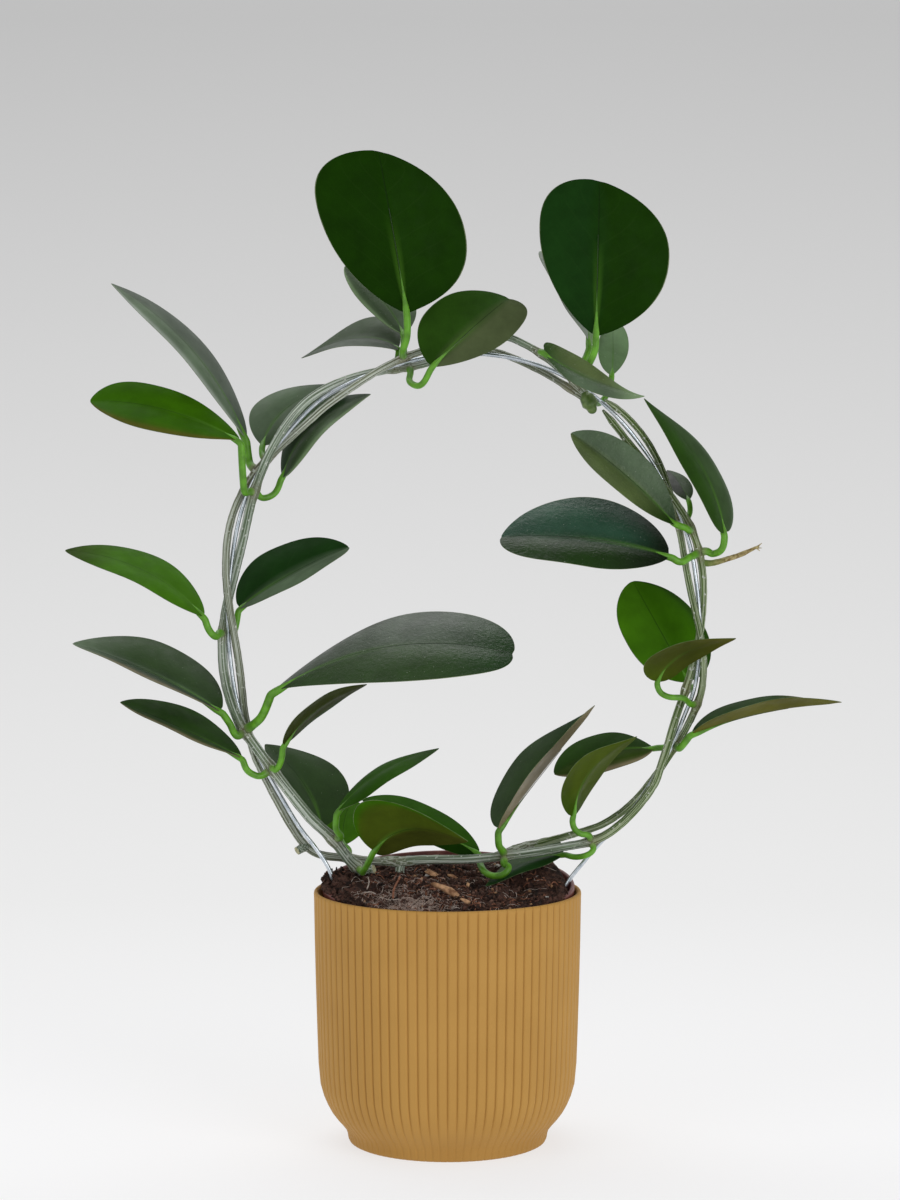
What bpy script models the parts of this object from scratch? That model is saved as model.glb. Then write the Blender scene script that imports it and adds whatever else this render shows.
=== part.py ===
"""A hoya trained round a wire hoop, in a nursery pot that stands in a ribbed cover pot.

Metres, +Z up. The origin is the middle of the cover pot's flat foot, and the plant faces -Y.
The plant's routes and leaves are read off a front view, 900 pixels wide and 1200 high: a place in
that view, with a depth in millimetres behind the pot's axis, gives a point of the plant.
"""

import math
from collections import namedtuple

import bmesh
import bpy
from mathutils import Matrix, Vector, geometry, noise

MM = 0.001
GAP = 0.3 * MM  # left between neighbouring pieces

# Front view: where the eye is, how far it looks down, and how large it sees things
EYE = Vector((1.3 * MM, -1.75, 0.42))
EYE_DIP = math.radians(4.4)
VIEW_MIDDLE = (450, 600)
VIEW_FOCAL = 3367

# Cover pot
RIBS = 84
GROOVE_DEPTH = 0.8 * MM
GROOVE_SHARE = 0.22  # of a rib's width, from the groove's bottom to the rib's shoulder
COVER_RIM = 133 * MM
COVER_FLOOR = 4 * MM
COVER_WALL = 2.6 * MM
COVER_PROFILE = [(0, 50.4), (2, 52.3), (7, 53.4), (13, 58.4), (20.5, 63.1), (31, 66.9), (42, 67.9),
                 (131.6, 70.1), (133, 69.1)]
CAVITY_SEGMENTS = 56

# Nursery pot, which leans in the cover pot with its back higher
NURSERY_LEAN = math.radians(6.5)
NURSERY_MIDDLE = Vector((0.6 * MM, 0, 136.5 * MM))
NURSERY_RIM_RADIUS = 66 * MM
NURSERY_TOP_RADIUS = 65 * MM
NURSERY_FOOT_RADIUS = 41 * MM
NURSERY_LIP = 5 * MM
NURSERY_WALL = 1 * MM
NURSERY_SEGMENTS = 44

# Soil
SOIL_RINGS = [12, 24, 35, 45, 53, 59.5]
SOIL_SEGMENTS = 36
SOIL_SEED = Vector((4.1, 7.3, 2.9))
SOIL_LUMPS = 2.2 * MM

# Wire hoop
WIRE_RADIUS = 1.1 * MM
WIRE_STEP = 12 * MM
HOOP_ROUTE = [
    (348, 970, 0), (338, 919, 0), (331, 874, 0), (317, 850, 0), (300, 828, 0), (283, 800, 0), (265, 768, 0),
    (245, 728, 0), (233, 680, 0), (228, 610, 0), (234, 545, 0), (246, 498, 0), (270, 455, 0), (318, 402, 0),
    (366, 376, 0), (400, 364, 0), (440, 355, 0), (480, 354, 0), (520, 360, 0), (560, 374, 0), (594, 396, 0),
    (621, 421, 0), (647, 454, 0), (665, 484, 0), (680, 514, 0), (691, 550, 0), (696, 580, 0), (699, 610, 0),
    (700, 650, 0), (694, 690, 0), (685, 714, 0), (669, 751, 0), (649, 786, 0), (628, 815, 0), (600, 843, 0),
    (582, 864, 0), (567, 884, 0), (556, 919, 0), (547, 970, 0),
]

# Vines, wound round the hoop side by side
WIND_RADIUS = 4.1 * MM
WIND_TURNS = 5.5
VINE_STEP = 10 * MM
NODE_SWELLING = 1.2

Vine = namedtuple("Vine", "name before wound phase radii after")
VINES = [
    Vine("vine_left", before=[(366, 905, 8), (363, 876, 8), (347, 857, 2), (333, 839, -4), (308, 815, -7)],
         wound=(0.17, 0.47), phase=300, radii=(3.0, 1.8),
         after=[(430, 362, 5), (449, 353, 6.5), (468, 342, 6.5), (488, 336, 4), (507, 337, 0), (526, 345, -3),
                (541, 354, -5), (556, 366, -6), (572, 380, -6), (584, 392, -7.5)]),
    Vine("vine_centre", before=[(400, 905, 10), (400, 876, 10), (402, 863, 10), (416, 860, 9), (470, 859, 3),
                                (526, 853, -5), (563, 847, -6), (588, 842, -6), (609, 833, -7), (633, 812, -6)],
         wound=(0.86, 0.583), phase=30, radii=(2.5, 1.8), after=[]),
    Vine("vine_back", before=[(395.8, 861, 10), (374, 861, 11), (348, 858, 12), (322, 855, 11), (306, 846, 9),
                              (288, 820, 7)],
         wound=(0.15, 0.60), phase=120, radii=(2.2, 1.8), after=[]),
    Vine("vine_right", before=[(513, 849, 0.6), (544, 842, 5), (574, 834, 7), (603, 824, 7.5), (629, 806, 7),
                               (653, 779, 5.5)],
         wound=(0.83, 0.588), phase=210, radii=(2.0, 1.7), after=[]),
]

# What grows on a vine besides its leaves, with a radius at each place: two cut stubs, a bud and a dry twig
Shoot = namedtuple("Shoot", "vine route radii")
SHOOTS = [
    Shoot("vine_back", route=[(306, 846, 9), (297, 851, 6)], radii=(2.6, 2.2)),
    Shoot("vine_left", route=[(360, 872, 8), (374, 869, 5)], radii=(2.4, 2.4)),
    Shoot("vine_left", route=[(584, 392, -7.5), (587, 398, -8), (590, 404, -8.5), (592, 409, -8.5)],
          radii=(1.7, 3.9, 4.2, 2.6)),
    Shoot("vine_centre", route=[(701, 563, 0), (712, 563, 3), (724, 560, 5), (742, 554, 6), (759, 546, 7)],
          radii=(1.9, 1.6, 1.4, 1.3, 0.6)),
]

# Leaves: a stalk from a vine to the blade's base, then a blade with its midrib through base, middle
# and tip, and its left and right edges beside the middle, as seen looking at its upper side. The form
# says how each of these edges runs to the base and to the tip: 0.5 is round, 1 and more is pointed
STALK_SLIM = 1.2 * MM
STALK_GROWTH = 0.009  # of the blade's length, added to the slim stalk's radius
BLADE_EDGE = 0.9 * MM
RIB_TIP = 1.1 * MM
STALK_STEP = 5 * MM
BLADE_RINGS = 10
OVAL = ((0.8, 0.8), (0.8, 0.8))

Leaf = namedtuple("Leaf", "vine node stalk base middle tip left right form", defaults=[OVAL])
LEAVES = [
    Leaf("vine_back", node=(403, 357), stalk=[(403, 350, -11), (407, 336, -14)], base=(407, 313, -15),
         middle=(390, 214, -27), tip=(378, 151, -22), left=(466, 233, -15), right=(315, 200, -17),
         form=((0.95, 0.45), (0.65, 0.6))),
    Leaf("vine_left", node=(409, 365), stalk=[(410, 382, -12), (421, 385, -19)], base=(432, 367, -22),
         middle=(468, 333, -14), tip=(509, 299, 8), left=(509, 339, -8), right=(430, 307, -6),
         form=((0.7, 0.5), (0.62, 0.6))),
    Leaf("vine_left", node=(409, 365), stalk=[(404, 351, 12)], base=(404, 334, 17),
         middle=(379, 297, 36), tip=(345, 266, 52), left=(361, 302, 30), right=(408, 291, 44)),
    Leaf("vine_left", node=(397, 366), stalk=[(398, 357, 17)], base=(399, 348, 22),
         middle=(378, 340, 30), tip=(301, 358, 44), left=(379, 347, 14), right=(388, 316, 52),
         form=((0.6, 0.8), (0.6, 1.9))),
    Leaf("vine_back", node=(257, 471), stalk=[(249, 461, 10)], base=(246, 438, 11),
         middle=(187, 345, 10), tip=(111, 283, 6), left=(178, 353, -8), right=(198, 337, 30),
         form=((0.8, 0.9), (0.5, 1.1))),
    Leaf("vine_left", node=(252, 492), stalk=[(245, 493, -10), (243, 478, -13)], base=(241, 441, -14),
         middle=(161, 409, -12), tip=(90, 401, -2), left=(153, 431, -30), right=(155, 384, 0),
         form=((1.3, 0.8), (0.55, 0.75))),
    Leaf("vine_back", node=(265, 458), stalk=[], base=(262, 445, 15),
         middle=(281, 414, 28), tip=(345, 383, 40), left=(256, 403, 38), right=(302, 425, 15),
         form=((0.7, 1.4), (0.8, 0.8))),
    Leaf("vine_back", node=(250, 486), stalk=[(262, 498, 8), (275, 493, 11)], base=(282, 477, 12),
         middle=(306, 433, 22), tip=(371, 394, 30), left=(296, 422, 38), right=(316, 442, 8),
         form=((0.8, 0.8), (0.6, 1.0))),
    Leaf("vine_left", node=(226, 634), stalk=[(216, 637, -8), (209, 630, -10)], base=(204, 616, -10),
         middle=(147, 573, -6), tip=(65, 550, 0), left=(141, 586, -24), right=(160, 558, 18),
         form=((0.8, 0.7), (0.6, 0.8))),
    Leaf("vine_left", node=(226, 634), stalk=[], base=(239, 608, 11),
         middle=(290, 576, 10), tip=(349, 547, 6), left=(269, 550, 30), right=(298, 583, -12),
         form=((0.55, 0.6), (0.7, 0.6))),
    Leaf("vine_left", node=(243, 733), stalk=[(230, 724, -8)], base=(221, 711, -10),
         middle=(157, 677, -4), tip=(73, 643, 2), left=(150, 679, -22), right=(178, 649, 20),
         form=((0.8, 0.5), (0.6, 0.85))),
    Leaf("vine_left", node=(266, 771), stalk=[(257, 776, -10), (247, 770, -11)], base=(242, 757, -11),
         middle=(178, 728, -6), tip=(120, 702, 0), left=(175, 732, -24), right=(190, 709, 18)),
    Leaf("vine_left", node=(243, 733), stalk=[(262, 716, -14)], base=(272, 692, -21),
         middle=(408, 645, -40), tip=(513, 654, -44), left=(429, 611, -14), right=(413, 680, -62),
         form=((0.95, 0.5), (1.4, 0.5))),
    Leaf("vine_left", node=(266, 771), stalk=[(275, 771, -11), (281, 761, -12)], base=(283, 745, -12),
         middle=(312, 713, -4), tip=(367, 684, 8), left=(317, 718, 16), right=(307, 706, -18),
         form=((0.8, 0.8), (0.5, 1.0))),
    Leaf("vine_left", node=(333, 840), stalk=[(329, 836, 8)], base=(322, 828, 14),
         middle=(305, 788, 30), tip=(265, 744, 46), left=(288, 797, 16), right=(346, 779, 46)),
    Leaf("vine_left", node=(333, 840), stalk=[(336, 829, -12)], base=(337, 811, -14),
         middle=(371, 779, -6), tip=(439, 748, 4), left=(366, 775, 14), right=(380, 788, -26),
         form=((0.8, 1.2), (1.1, 0.8))),
    Leaf("vine_left", node=(356, 869), stalk=[(363, 872, -9), (369, 861, -20)], base=(374, 851, -26),
         middle=(410, 829, -44), tip=(468, 841, -54), left=(420, 846, -30), right=(371, 799, -56),
         form=((0.5, 0.8), (0.42, 0.8))),
    Leaf("vine_centre", node=(505, 856), stalk=[(509, 867, -10), (504, 874, -12), (494, 876, -9),
         (485, 872, -2), (480, 863, 7)], base=(480, 853, 10), middle=(428, 828, 15), tip=(362, 800, 26),
         left=(438, 847, 11), right=(431, 806, 32), form=((0.8, 0.8), (0.6, 0.8))),
    Leaf("vine_back", node=(348, 858), stalk=[], base=(344, 845, 19),
         middle=(344, 822, 34), tip=(352, 800, 50), left=(322, 828, 30), right=(368, 820, 38)),
    Leaf("vine_centre", node=(505, 856), stalk=[(499, 846, -9)], base=(498, 829, -10),
         middle=(541, 775, -2), tip=(595, 705, 0), left=(514, 761, 20), right=(535, 767, -22),
         form=((0.5, 1.7), (0.6, 0.9))),
    Leaf("vine_right", node=(678, 745), stalk=[(666, 747, 13)], base=(654, 748, 15),
         middle=(603, 753, 28), tip=(554, 774, 38), left=(608, 771, 14), right=(595, 734, 46),
         form=((0.8, 0.8), (0.8, 0.55))),
    Leaf("vine_centre", node=(590, 842), stalk=[(581, 834, -12), (574, 828, -13)], base=(572, 817, -14),
         middle=(583, 782, -16), tip=(637, 736, -12), left=(592, 789, 6), right=(566, 775, -34),
         form=((0.8, 0.8), (0.5, 1.7))),
    Leaf("vine_centre", node=(590, 842), stalk=[(587, 855, -11), (575, 857, -6)], base=(563, 854, 1),
         middle=(528, 861, 5), tip=(485, 886, -10), left=(536, 868, -1), right=(542, 838, 26)),
    Leaf("vine_centre", node=(687, 691), stalk=[(690, 688, 10)], base=(689, 682, 14),
         middle=(662, 635, 22), tip=(633, 581, 34), left=(627, 645, 14), right=(702, 622, 36),
         form=((0.65, 0.6), (0.45, 0.75))),
    Leaf("vine_right", node=(692, 703), stalk=[(683, 698, -12), (669, 697, -14), (660, 692, -14)],
         base=(656, 681, -14), middle=(673, 660, -22), tip=(736, 638, -24), left=(686, 668, -12),
         right=(651, 656, -42), form=((0.7, 0.8), (0.45, 1.1))),
    Leaf("vine_right", node=(678, 745), stalk=[], base=(692, 733, -6),
         middle=(758, 714, -4), tip=(842, 702, -2), left=(748, 698, 20), right=(756, 703, -24),
         form=((0.7, 1.9), (0.8, 0.9))),
    Leaf("vine_centre", node=(700, 553), stalk=[(690, 557, -8), (680, 562, -12)], base=(670, 556, -13),
         middle=(596, 541, -20), tip=(501, 537, -22), left=(582, 566, -40), right=(596, 498, 4),
         form=((0.6, 0.5), (0.5, 0.75))),
    Leaf("vine_centre", node=(692, 527), stalk=[(686, 528, -12)], base=(676, 525, -13),
         middle=(628, 478, -10), tip=(571, 433, -6), left=(610, 485, -30), right=(641, 453, -8)),
    Leaf("vine_centre", node=(700, 552), stalk=[(712, 554, -4), (722, 549, -8)], base=(725, 533, -8),
         middle=(705, 474, 0), tip=(644, 398, 0), left=(692, 483, -22), right=(721, 472, 22),
         form=((0.6, 0.9), (0.4, 2.0))),
    Leaf("vine_right", node=(682, 520), stalk=[(690, 512, 12)], base=(689, 500, 15),
         middle=(681, 485, 26), tip=(667, 470, 44), left=(672, 489, 22), right=(691, 483, 30)),
    Leaf("vine_left", node=(576, 384), stalk=[(582, 376, -11), (590, 362, -12), (595, 350, -13)],
         base=(596, 336, -13), middle=(598, 240, -22), tip=(599, 181, -14), left=(670, 256, -9),
         right=(539, 224, -11), form=((0.85, 0.56), (0.75, 0.5))),
    Leaf("vine_back", node=(594, 402), stalk=[(600, 403, 8), (609, 391, 12)], base=(612, 375, 14),
         middle=(613, 346, 28), tip=(612, 318, 46), left=(598, 350, 24), right=(629, 345, 30)),
    Leaf("vine_back", node=(575, 377), stalk=[(581, 367, 11), (586, 357, 14)], base=(590, 346, 17),
         middle=(578, 300, 34), tip=(540, 251, 54), left=(563, 303, 22), right=(598, 296, 48),
         form=((2.0, 0.6), (0.8, 0.8))),
    Leaf("vine_left", node=(541, 354), stalk=[], base=(544, 353, -12),
         middle=(575, 372, -21), tip=(645, 396, -22), left=(572, 352, -15), right=(580, 387, -29),
         form=((0.3, 2.6), (0.9, 0.9))),
]


def clear_scene():
    for obj in list(bpy.data.objects):
        bpy.data.objects.remove(obj)


def seen(across, down, depth):
    """The point at a place of the front view, so many millimetres behind the pot's axis."""
    right = (across - VIEW_MIDDLE[0]) / VIEW_FOCAL
    up = (VIEW_MIDDLE[1] - down) / VIEW_FOCAL
    level = math.cos(EYE_DIP) + up * math.sin(EYE_DIP)
    forward = Vector((right, level, up * math.cos(EYE_DIP) - math.sin(EYE_DIP)))
    return EYE + forward * ((depth * MM - EYE.y) / forward.y)


def place_in_view(point):
    """The place of a point in the front view, the other way round from seen."""
    away = point - EYE
    distance = away.y * math.cos(EYE_DIP) - away.z * math.sin(EYE_DIP)
    height = away.y * math.sin(EYE_DIP) + away.z * math.cos(EYE_DIP)
    return Vector(VIEW_MIDDLE) + Vector((away.x, -height)) * VIEW_FOCAL / distance


def smooth(points, step):
    """Points about a step apart on a smooth curve through the given ones."""
    last = len(points) - 1
    lean = [(points[min(i + 1, last)] - points[max(i - 1, 0)]).normalized() for i in range(last + 1)]
    made = []
    for i in range(last):
        start, end = points[i], points[i + 1]
        pull = (end - start).length / 3
        count = max(1, round((end - start).length / step))
        made += geometry.interpolate_bezier(
            start, start + lean[i] * pull, end - lean[i + 1] * pull, end, count + 1)[:-1]
    return made + [points[last]]


def spaced(points, count):
    """So many points, evenly spaced along a polyline."""
    lengths = [0]
    for a, b in zip(points, points[1:]):
        lengths.append(lengths[-1] + (b - a).length)
    made = []
    k = 0
    for i in range(count):
        at = lengths[-1] * i / (count - 1)
        while k < len(points) - 2 and lengths[k + 1] < at:
            k += 1
        made.append(points[k].lerp(points[k + 1], (at - lengths[k]) / (lengths[k + 1] - lengths[k])))
    return made


def direction(points, i):
    return (points[min(i + 1, len(points) - 1)] - points[max(i - 1, 0)]).normalized()


def material(name, colour, roughness, metallic=0.0):
    made = bpy.data.materials.new(name)
    made.use_nodes = True
    shader = made.node_tree.nodes["Principled BSDF"]
    shader.inputs["Base Color"].default_value = (*colour, 1)
    shader.inputs["Roughness"].default_value = roughness
    shader.inputs["Metallic"].default_value = metallic
    return made


def add_object(name, mesh, finish, smooth_angle=40):
    mesh.materials.append(finish)
    mesh.shade_smooth()
    mesh.set_sharp_from_angle(angle=math.radians(smooth_angle))
    made = bpy.data.objects.new(name, mesh)
    bpy.context.scene.collection.objects.link(made)
    return made


def mesh_from(bm, name):
    mesh = bpy.data.meshes.new(name)
    bm.to_mesh(mesh)
    bm.free()
    return mesh


def tube(name, points, radii, sides_step=1):
    """A mesh round a route, from a curve with a round bevel, filled caps and a radius at each point."""
    curve = bpy.data.curves.new(name, "CURVE")
    curve.dimensions = "3D"
    curve.bevel_depth = 1
    curve.bevel_resolution = sides_step
    curve.use_fill_caps = True
    spline = curve.splines.new("POLY")
    spline.points.add(len(points) - 1)
    for place, point, radius in zip(spline.points, points, radii):
        place.co = (*point, 1)
        place.radius = radius
    guide = bpy.data.objects.new(name + "_guide", curve)
    mesh = bpy.data.meshes.new_from_object(guide)
    bpy.data.objects.remove(guide)
    bm = bmesh.new()
    bm.from_mesh(mesh)
    bpy.data.meshes.remove(mesh)
    bmesh.ops.remove_doubles(bm, verts=bm.verts, dist=0.001 * MM)
    bmesh.ops.recalc_face_normals(bm, faces=bm.faces)
    return mesh_from(bm, name)


def combine(obj, others, operation):
    """One Boolean of an object with others, which are then removed."""
    group = bpy.data.collections.new(obj.name + "_others")
    for other in others:
        group.objects.link(other)
    change = obj.modifiers.new("combine", "BOOLEAN")
    change.operation = operation
    change.operand_type = "COLLECTION"
    change.collection = group
    graph = bpy.context.evaluated_depsgraph_get()
    mesh = bpy.data.meshes.new_from_object(obj.evaluated_get(graph))
    obj.modifiers.clear()
    obj.data = mesh
    for other in others:
        bpy.data.objects.remove(other)
    bpy.data.collections.remove(group)


def turned(profile, segments, name):
    """A closed solid turned about Z from a profile of (radius, height) with both ends on the axis."""
    bm = bmesh.new()
    corners = [bm.verts.new((radius, 0, height)) for radius, height in profile]
    edges = [bm.edges.new(pair) for pair in zip(corners, corners[1:])]
    bmesh.ops.spin(bm, geom=corners + edges, cent=(0, 0, 0), axis=(0, 0, 1), dvec=(0, 0, 0),
                   angle=2 * math.pi, steps=segments, use_merge=True)
    bmesh.ops.remove_doubles(bm, verts=bm.verts, dist=0.01 * MM)
    bmesh.ops.recalc_face_normals(bm, faces=bm.faces)
    return mesh_from(bm, name)


def cover_pot():
    """The outside is a ribbed disc extruded level by level, and the cavity is cut out of it."""
    bm = bmesh.new()
    corners = 3 * RIBS
    bmesh.ops.create_circle(bm, segments=corners, radius=1, cap_ends=True)
    pitch = 2 * math.pi / RIBS
    shoulder = pitch * GROOVE_SHARE

    def turn(vert):
        return (math.atan2(vert.co.y, vert.co.x) + shoulder / 2) % (2 * math.pi)

    def shape(verts, height, radius):
        for i, vert in enumerate(sorted(verts, key=turn)):
            place = (0, shoulder, pitch - shoulder)[i % 3]
            angle = (i // 3) * pitch + place
            out = radius - (GROOVE_DEPTH if i % 3 == 0 else 0)
            vert.co = (out * math.cos(angle), out * math.sin(angle), height)

    height, radius = COVER_PROFILE[0]
    shape(bm.verts, height * MM, radius * MM)
    face = bm.faces[:][0]
    for height, radius in COVER_PROFILE[1:]:
        made = bmesh.ops.extrude_face_region(bm, geom=[face, *face.edges, *face.verts])["geom"]
        face = next(item for item in made if isinstance(item, bmesh.types.BMFace))
        shape(face.verts, height * MM, radius * MM)
    bmesh.ops.recalc_face_normals(bm, faces=bm.faces)
    ochre = material("ochre_plastic", (0.42, 0.22, 0.06), 0.6)
    pot = add_object("cover_pot", mesh_from(bm, "cover_pot"), ochre)
    inside = [(0, COVER_FLOOR)]
    for height, radius in COVER_PROFILE[3:-1]:
        inside.append(((radius * MM - COVER_WALL), max(height * MM, COVER_FLOOR)))
    inside.insert(1, (inside[1][0] - 6 * MM, COVER_FLOOR))
    inside[-1] = (inside[-1][0], COVER_RIM + 2 * MM)
    inside.append((0, COVER_RIM + 2 * MM))
    cavity = bpy.data.objects.new("cavity", turned(inside, CAVITY_SEGMENTS, "cavity"))
    bpy.context.scene.collection.objects.link(cavity)
    combine(pot, [cavity], "DIFFERENCE")


def nursery_place():
    """The nursery pot's own frame: its origin is in the middle of its rim, with +Z up its leaning axis."""
    return Matrix.Translation(NURSERY_MIDDLE) @ Matrix.Rotation(NURSERY_LEAN, 4, "X")


def nursery_depth():
    """From the rim down to the foot, whose front edge stands on the cover pot's floor."""
    drop = NURSERY_MIDDLE.z - COVER_FLOOR - GAP - NURSERY_FOOT_RADIUS * math.sin(NURSERY_LEAN)
    return drop / math.cos(NURSERY_LEAN)


def nursery_pot():
    depth = nursery_depth()
    top, foot, wall = NURSERY_TOP_RADIUS, NURSERY_FOOT_RADIUS, NURSERY_WALL
    outside = [(0, -depth), (foot, -depth), (top - 1.2 * MM, -NURSERY_LIP)]
    outside += [(NURSERY_RIM_RADIUS, -NURSERY_LIP), (NURSERY_RIM_RADIUS, 0), (top - wall, 0)]
    inside = [(foot - wall, wall - depth), (0, wall - depth)]
    mesh = turned(outside + inside, NURSERY_SEGMENTS, "nursery_pot")
    mesh.transform(nursery_place())
    add_object("nursery_pot", mesh, material("brown_plastic", (0.16, 0.045, 0.035), 0.45))


def soil_height(x, y):
    """Height of the soil over the nursery rim's plane: banked to the left and right, low in front."""
    bank_left = 7.5 * MM * math.exp(-((x + 60 * MM) ** 2 + (y - 2 * MM) ** 2) / (17 * MM) ** 2)
    bank_right = 7 * MM * math.exp(-((x - 50 * MM) ** 2 + (y - 24 * MM) ** 2) / (24 * MM) ** 2)
    middle = 3 * MM * math.exp(-((x + 8 * MM) ** 2 + (y - 14 * MM) ** 2) / (34 * MM) ** 2)
    lumps = SOIL_LUMPS * noise.noise(Vector((x, y, 0)) * 90 + SOIL_SEED)
    return bank_left + bank_right + middle + lumps - 2.2 * MM


def soil(holes):
    """A turned plug with an uneven top, and a plain hole round each stem and wire that stands in it."""
    depth = nursery_depth() - NURSERY_WALL - GAP
    slope = (NURSERY_TOP_RADIUS - NURSERY_FOOT_RADIUS) / nursery_depth()
    foot = NURSERY_FOOT_RADIUS - NURSERY_WALL - 2 * GAP
    edge = NURSERY_TOP_RADIUS - NURSERY_WALL - 2 * GAP - 4 * MM * slope
    profile = [(0, -depth), (foot, -depth), (edge, -4 * MM)]
    profile += [(radius * MM, 0) for radius in reversed(SOIL_RINGS)] + [(0, 0)]
    mesh = turned(profile, SOIL_SEGMENTS, "soil")
    for vert in mesh.vertices:
        if vert.co.z > -5 * MM:
            radius = math.hypot(vert.co.x, vert.co.y)
            share = min(1, max(0, (edge - radius) / (3 * MM)))
            vert.co.z = share * soil_height(vert.co.x, vert.co.y) - (1 - share) * 3.5 * MM
    mesh.transform(nursery_place())
    made = add_object("soil", mesh, material("dark_soil", (0.035, 0.018, 0.012), 0.95), 70)
    combine(made, holes, "DIFFERENCE")


def hole(name, points, radius):
    """A cutter a gap wider than what stands in it, and a gap longer at its lower end."""
    start = points[0] + (points[0] - points[1]).normalized() * GAP
    route = [start] + points[1:]
    made = bpy.data.objects.new(name, tube(name, route, [1.04 * (radius + GAP)] * len(route), sides_step=4))
    bpy.context.scene.collection.objects.link(made)
    return made


def hoop_line():
    return smooth([seen(*place) for place in HOOP_ROUTE], WIRE_STEP)


def wire_hoop(line):
    mesh = tube("wire_hoop", line, [WIRE_RADIUS] * len(line))
    add_object("wire_hoop", mesh, material("bright_wire", (0.7, 0.72, 0.75), 0.25, 1.0))


def wound_line(hoop, start, end, phase):
    """A route round the wire from one share of the hoop's length to another, at an even pitch."""
    points = spaced(hoop, 241)
    first, last = round(start * 240), round(end * 240)
    step = 3 if last > first else -3
    made = []
    for i in range(first, last, step):
        along = direction(points, i)
        outward = along.cross(Vector((0, 1, 0))).normalized()
        backward = outward.cross(along).normalized()
        turn = math.radians(phase) + 2 * math.pi * WIND_TURNS * i / 240
        made.append(points[i] + (outward * math.cos(turn) + backward * math.sin(turn)) * WIND_RADIUS)
    return made


def vine_line(vine, hoop):
    """The vine's route, with a point at each place where a leaf stands on it."""
    places = [seen(*place) for place in vine.before]
    places += wound_line(hoop, *vine.wound, vine.phase) + [seen(*place) for place in vine.after]
    fine = smooth(places, VINE_STEP / 5)
    nodes = {nearest(fine, leaf.node) for leaf in LEAVES if leaf.vine == vine.name}
    marks = sorted(nodes | {0, len(fine) - 1})
    line = []
    for a, b in zip(marks, marks[1:]):
        count = max(1, round((fine[b] - fine[a]).length / VINE_STEP))
        line += spaced(fine[a:b + 1], count + 1)[:-1]
    return line + [fine[-1]]


def nearest(points, place):
    """The number of the point that lies nearest to a place in the front view."""
    return min(range(len(points)), key=lambda i: (place_in_view(points[i]) - Vector(place)).length)


def vine_radii(vine, line, nodes):
    last = len(line) - 1
    radii = [(vine.radii[0] + (vine.radii[1] - vine.radii[0]) * i / last) * MM for i in range(last + 1)]
    for i in nodes:
        radii[i] *= NODE_SWELLING
    return radii


def vine_solid(vine, line, radii, finish):
    made = add_object(vine.name, tube(vine.name, line, radii), finish, 60)
    shoots = []
    for i, shoot in enumerate(s for s in SHOOTS if s.vine == vine.name):
        route = [seen(*place) for place in shoot.route]
        sizes = [radius * MM for radius in shoot.radii]
        shoots.append(bpy.data.objects.new(f"shoot_{i}", tube("shoot", route, sizes)))
        bpy.context.scene.collection.objects.link(shoots[-1])
    if shoots:
        combine(made, shoots, "UNION")


def stalk_radius(leaf):
    """A long blade stands on a stout stalk."""
    return STALK_SLIM + STALK_GROWTH * (seen(*leaf.tip) - seen(*leaf.base)).length


def stalk_line(leaf, line, radii):
    """The stalk's route, square off the vine's surface and into the blade's base."""
    node = nearest(line, leaf.node)
    start = line[node]
    marks = [seen(*place) for place in leaf.stalk] + [seen(*leaf.base)]
    along = direction(line, node)
    off = marks[0] - start
    off = (off - along * off.dot(along)).normalized()
    foot = start + off * (radii[node] + 1.5 * GAP)
    reach = min(3 * MM, (marks[0] - foot).length / 3)
    return smooth([foot, foot + off * reach] + marks, 3 * MM)


def across(vector, along):
    return vector - along * vector.dot(along)


def blade_width(t, widest, form):
    """How far an edge is from the midrib at a share of the blade's length, as a share of the most."""
    if t < widest:
        return (1 - ((widest - t) / widest) ** 2.2) ** form[0]
    return (1 - ((t - widest) / (1 - widest)) ** 2.2) ** form[1]


def ring_of(centre, up, half_left, half_right, rib, edge):
    """Six corners: the left edge, midrib and right edge on top, then the same underneath."""
    left, right = centre + half_left, centre + half_right
    return [left + up * edge / 2, centre + up * rib / 2, right + up * edge / 2,
            right - up * edge / 2, centre - up * rib / 2, left - up * edge / 2]


def leaf_rings(leaf, stalk):
    base, middle, tip = (seen(*place) for place in (leaf.base, leaf.middle, leaf.tip))
    left, right = seen(*leaf.left) - middle, seen(*leaf.right) - middle
    widest = (middle - base).length / ((middle - base).length + (tip - middle).length)

    def midrib(t):
        a = (t - widest) * (t - 1) / widest
        b = t * (t - 1) / (widest * (widest - 1))
        c = t * (t - widest) / (1 - widest)
        return base * a + middle * b + tip * c

    radius = stalk_radius(leaf)
    rings = []
    for i in range(1, BLADE_RINGS + 1):
        t = (1 - math.cos(math.pi * i / BLADE_RINGS)) / 2
        t = 0.012 + 0.982 * t
        along = (midrib(t + 0.01) - midrib(t - 0.01)).normalized()
        half_left = left * blade_width(t, widest, leaf.form[0])
        half_right = right * blade_width(t, widest, leaf.form[1])
        side = across(right - left, along).normalized()
        up = side.cross(along)
        rib = RIB_TIP + (2 * radius - RIB_TIP) * (1 - t) ** 3
        rings.append(ring_of(midrib(t), up, half_left, half_right, rib, BLADE_EDGE))

    start = (midrib(0.01) - midrib(0)).normalized()
    side = across(right - left, start).normalized()
    length = sum((b - a).length for a, b in zip(stalk, stalk[1:]))
    points = spaced(stalk, max(4, round(length / STALK_STEP)))
    below = []
    for i in reversed(range(len(points))):
        along = direction(points, i) if i else direction(stalk, 0)
        side = across(side, along).normalized()
        up = side.cross(along)
        half = side * radius * math.cos(math.pi / 6)
        below.append(ring_of(points[i], up, -half, half, 2 * radius, radius))
    return below[::-1] + rings


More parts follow.
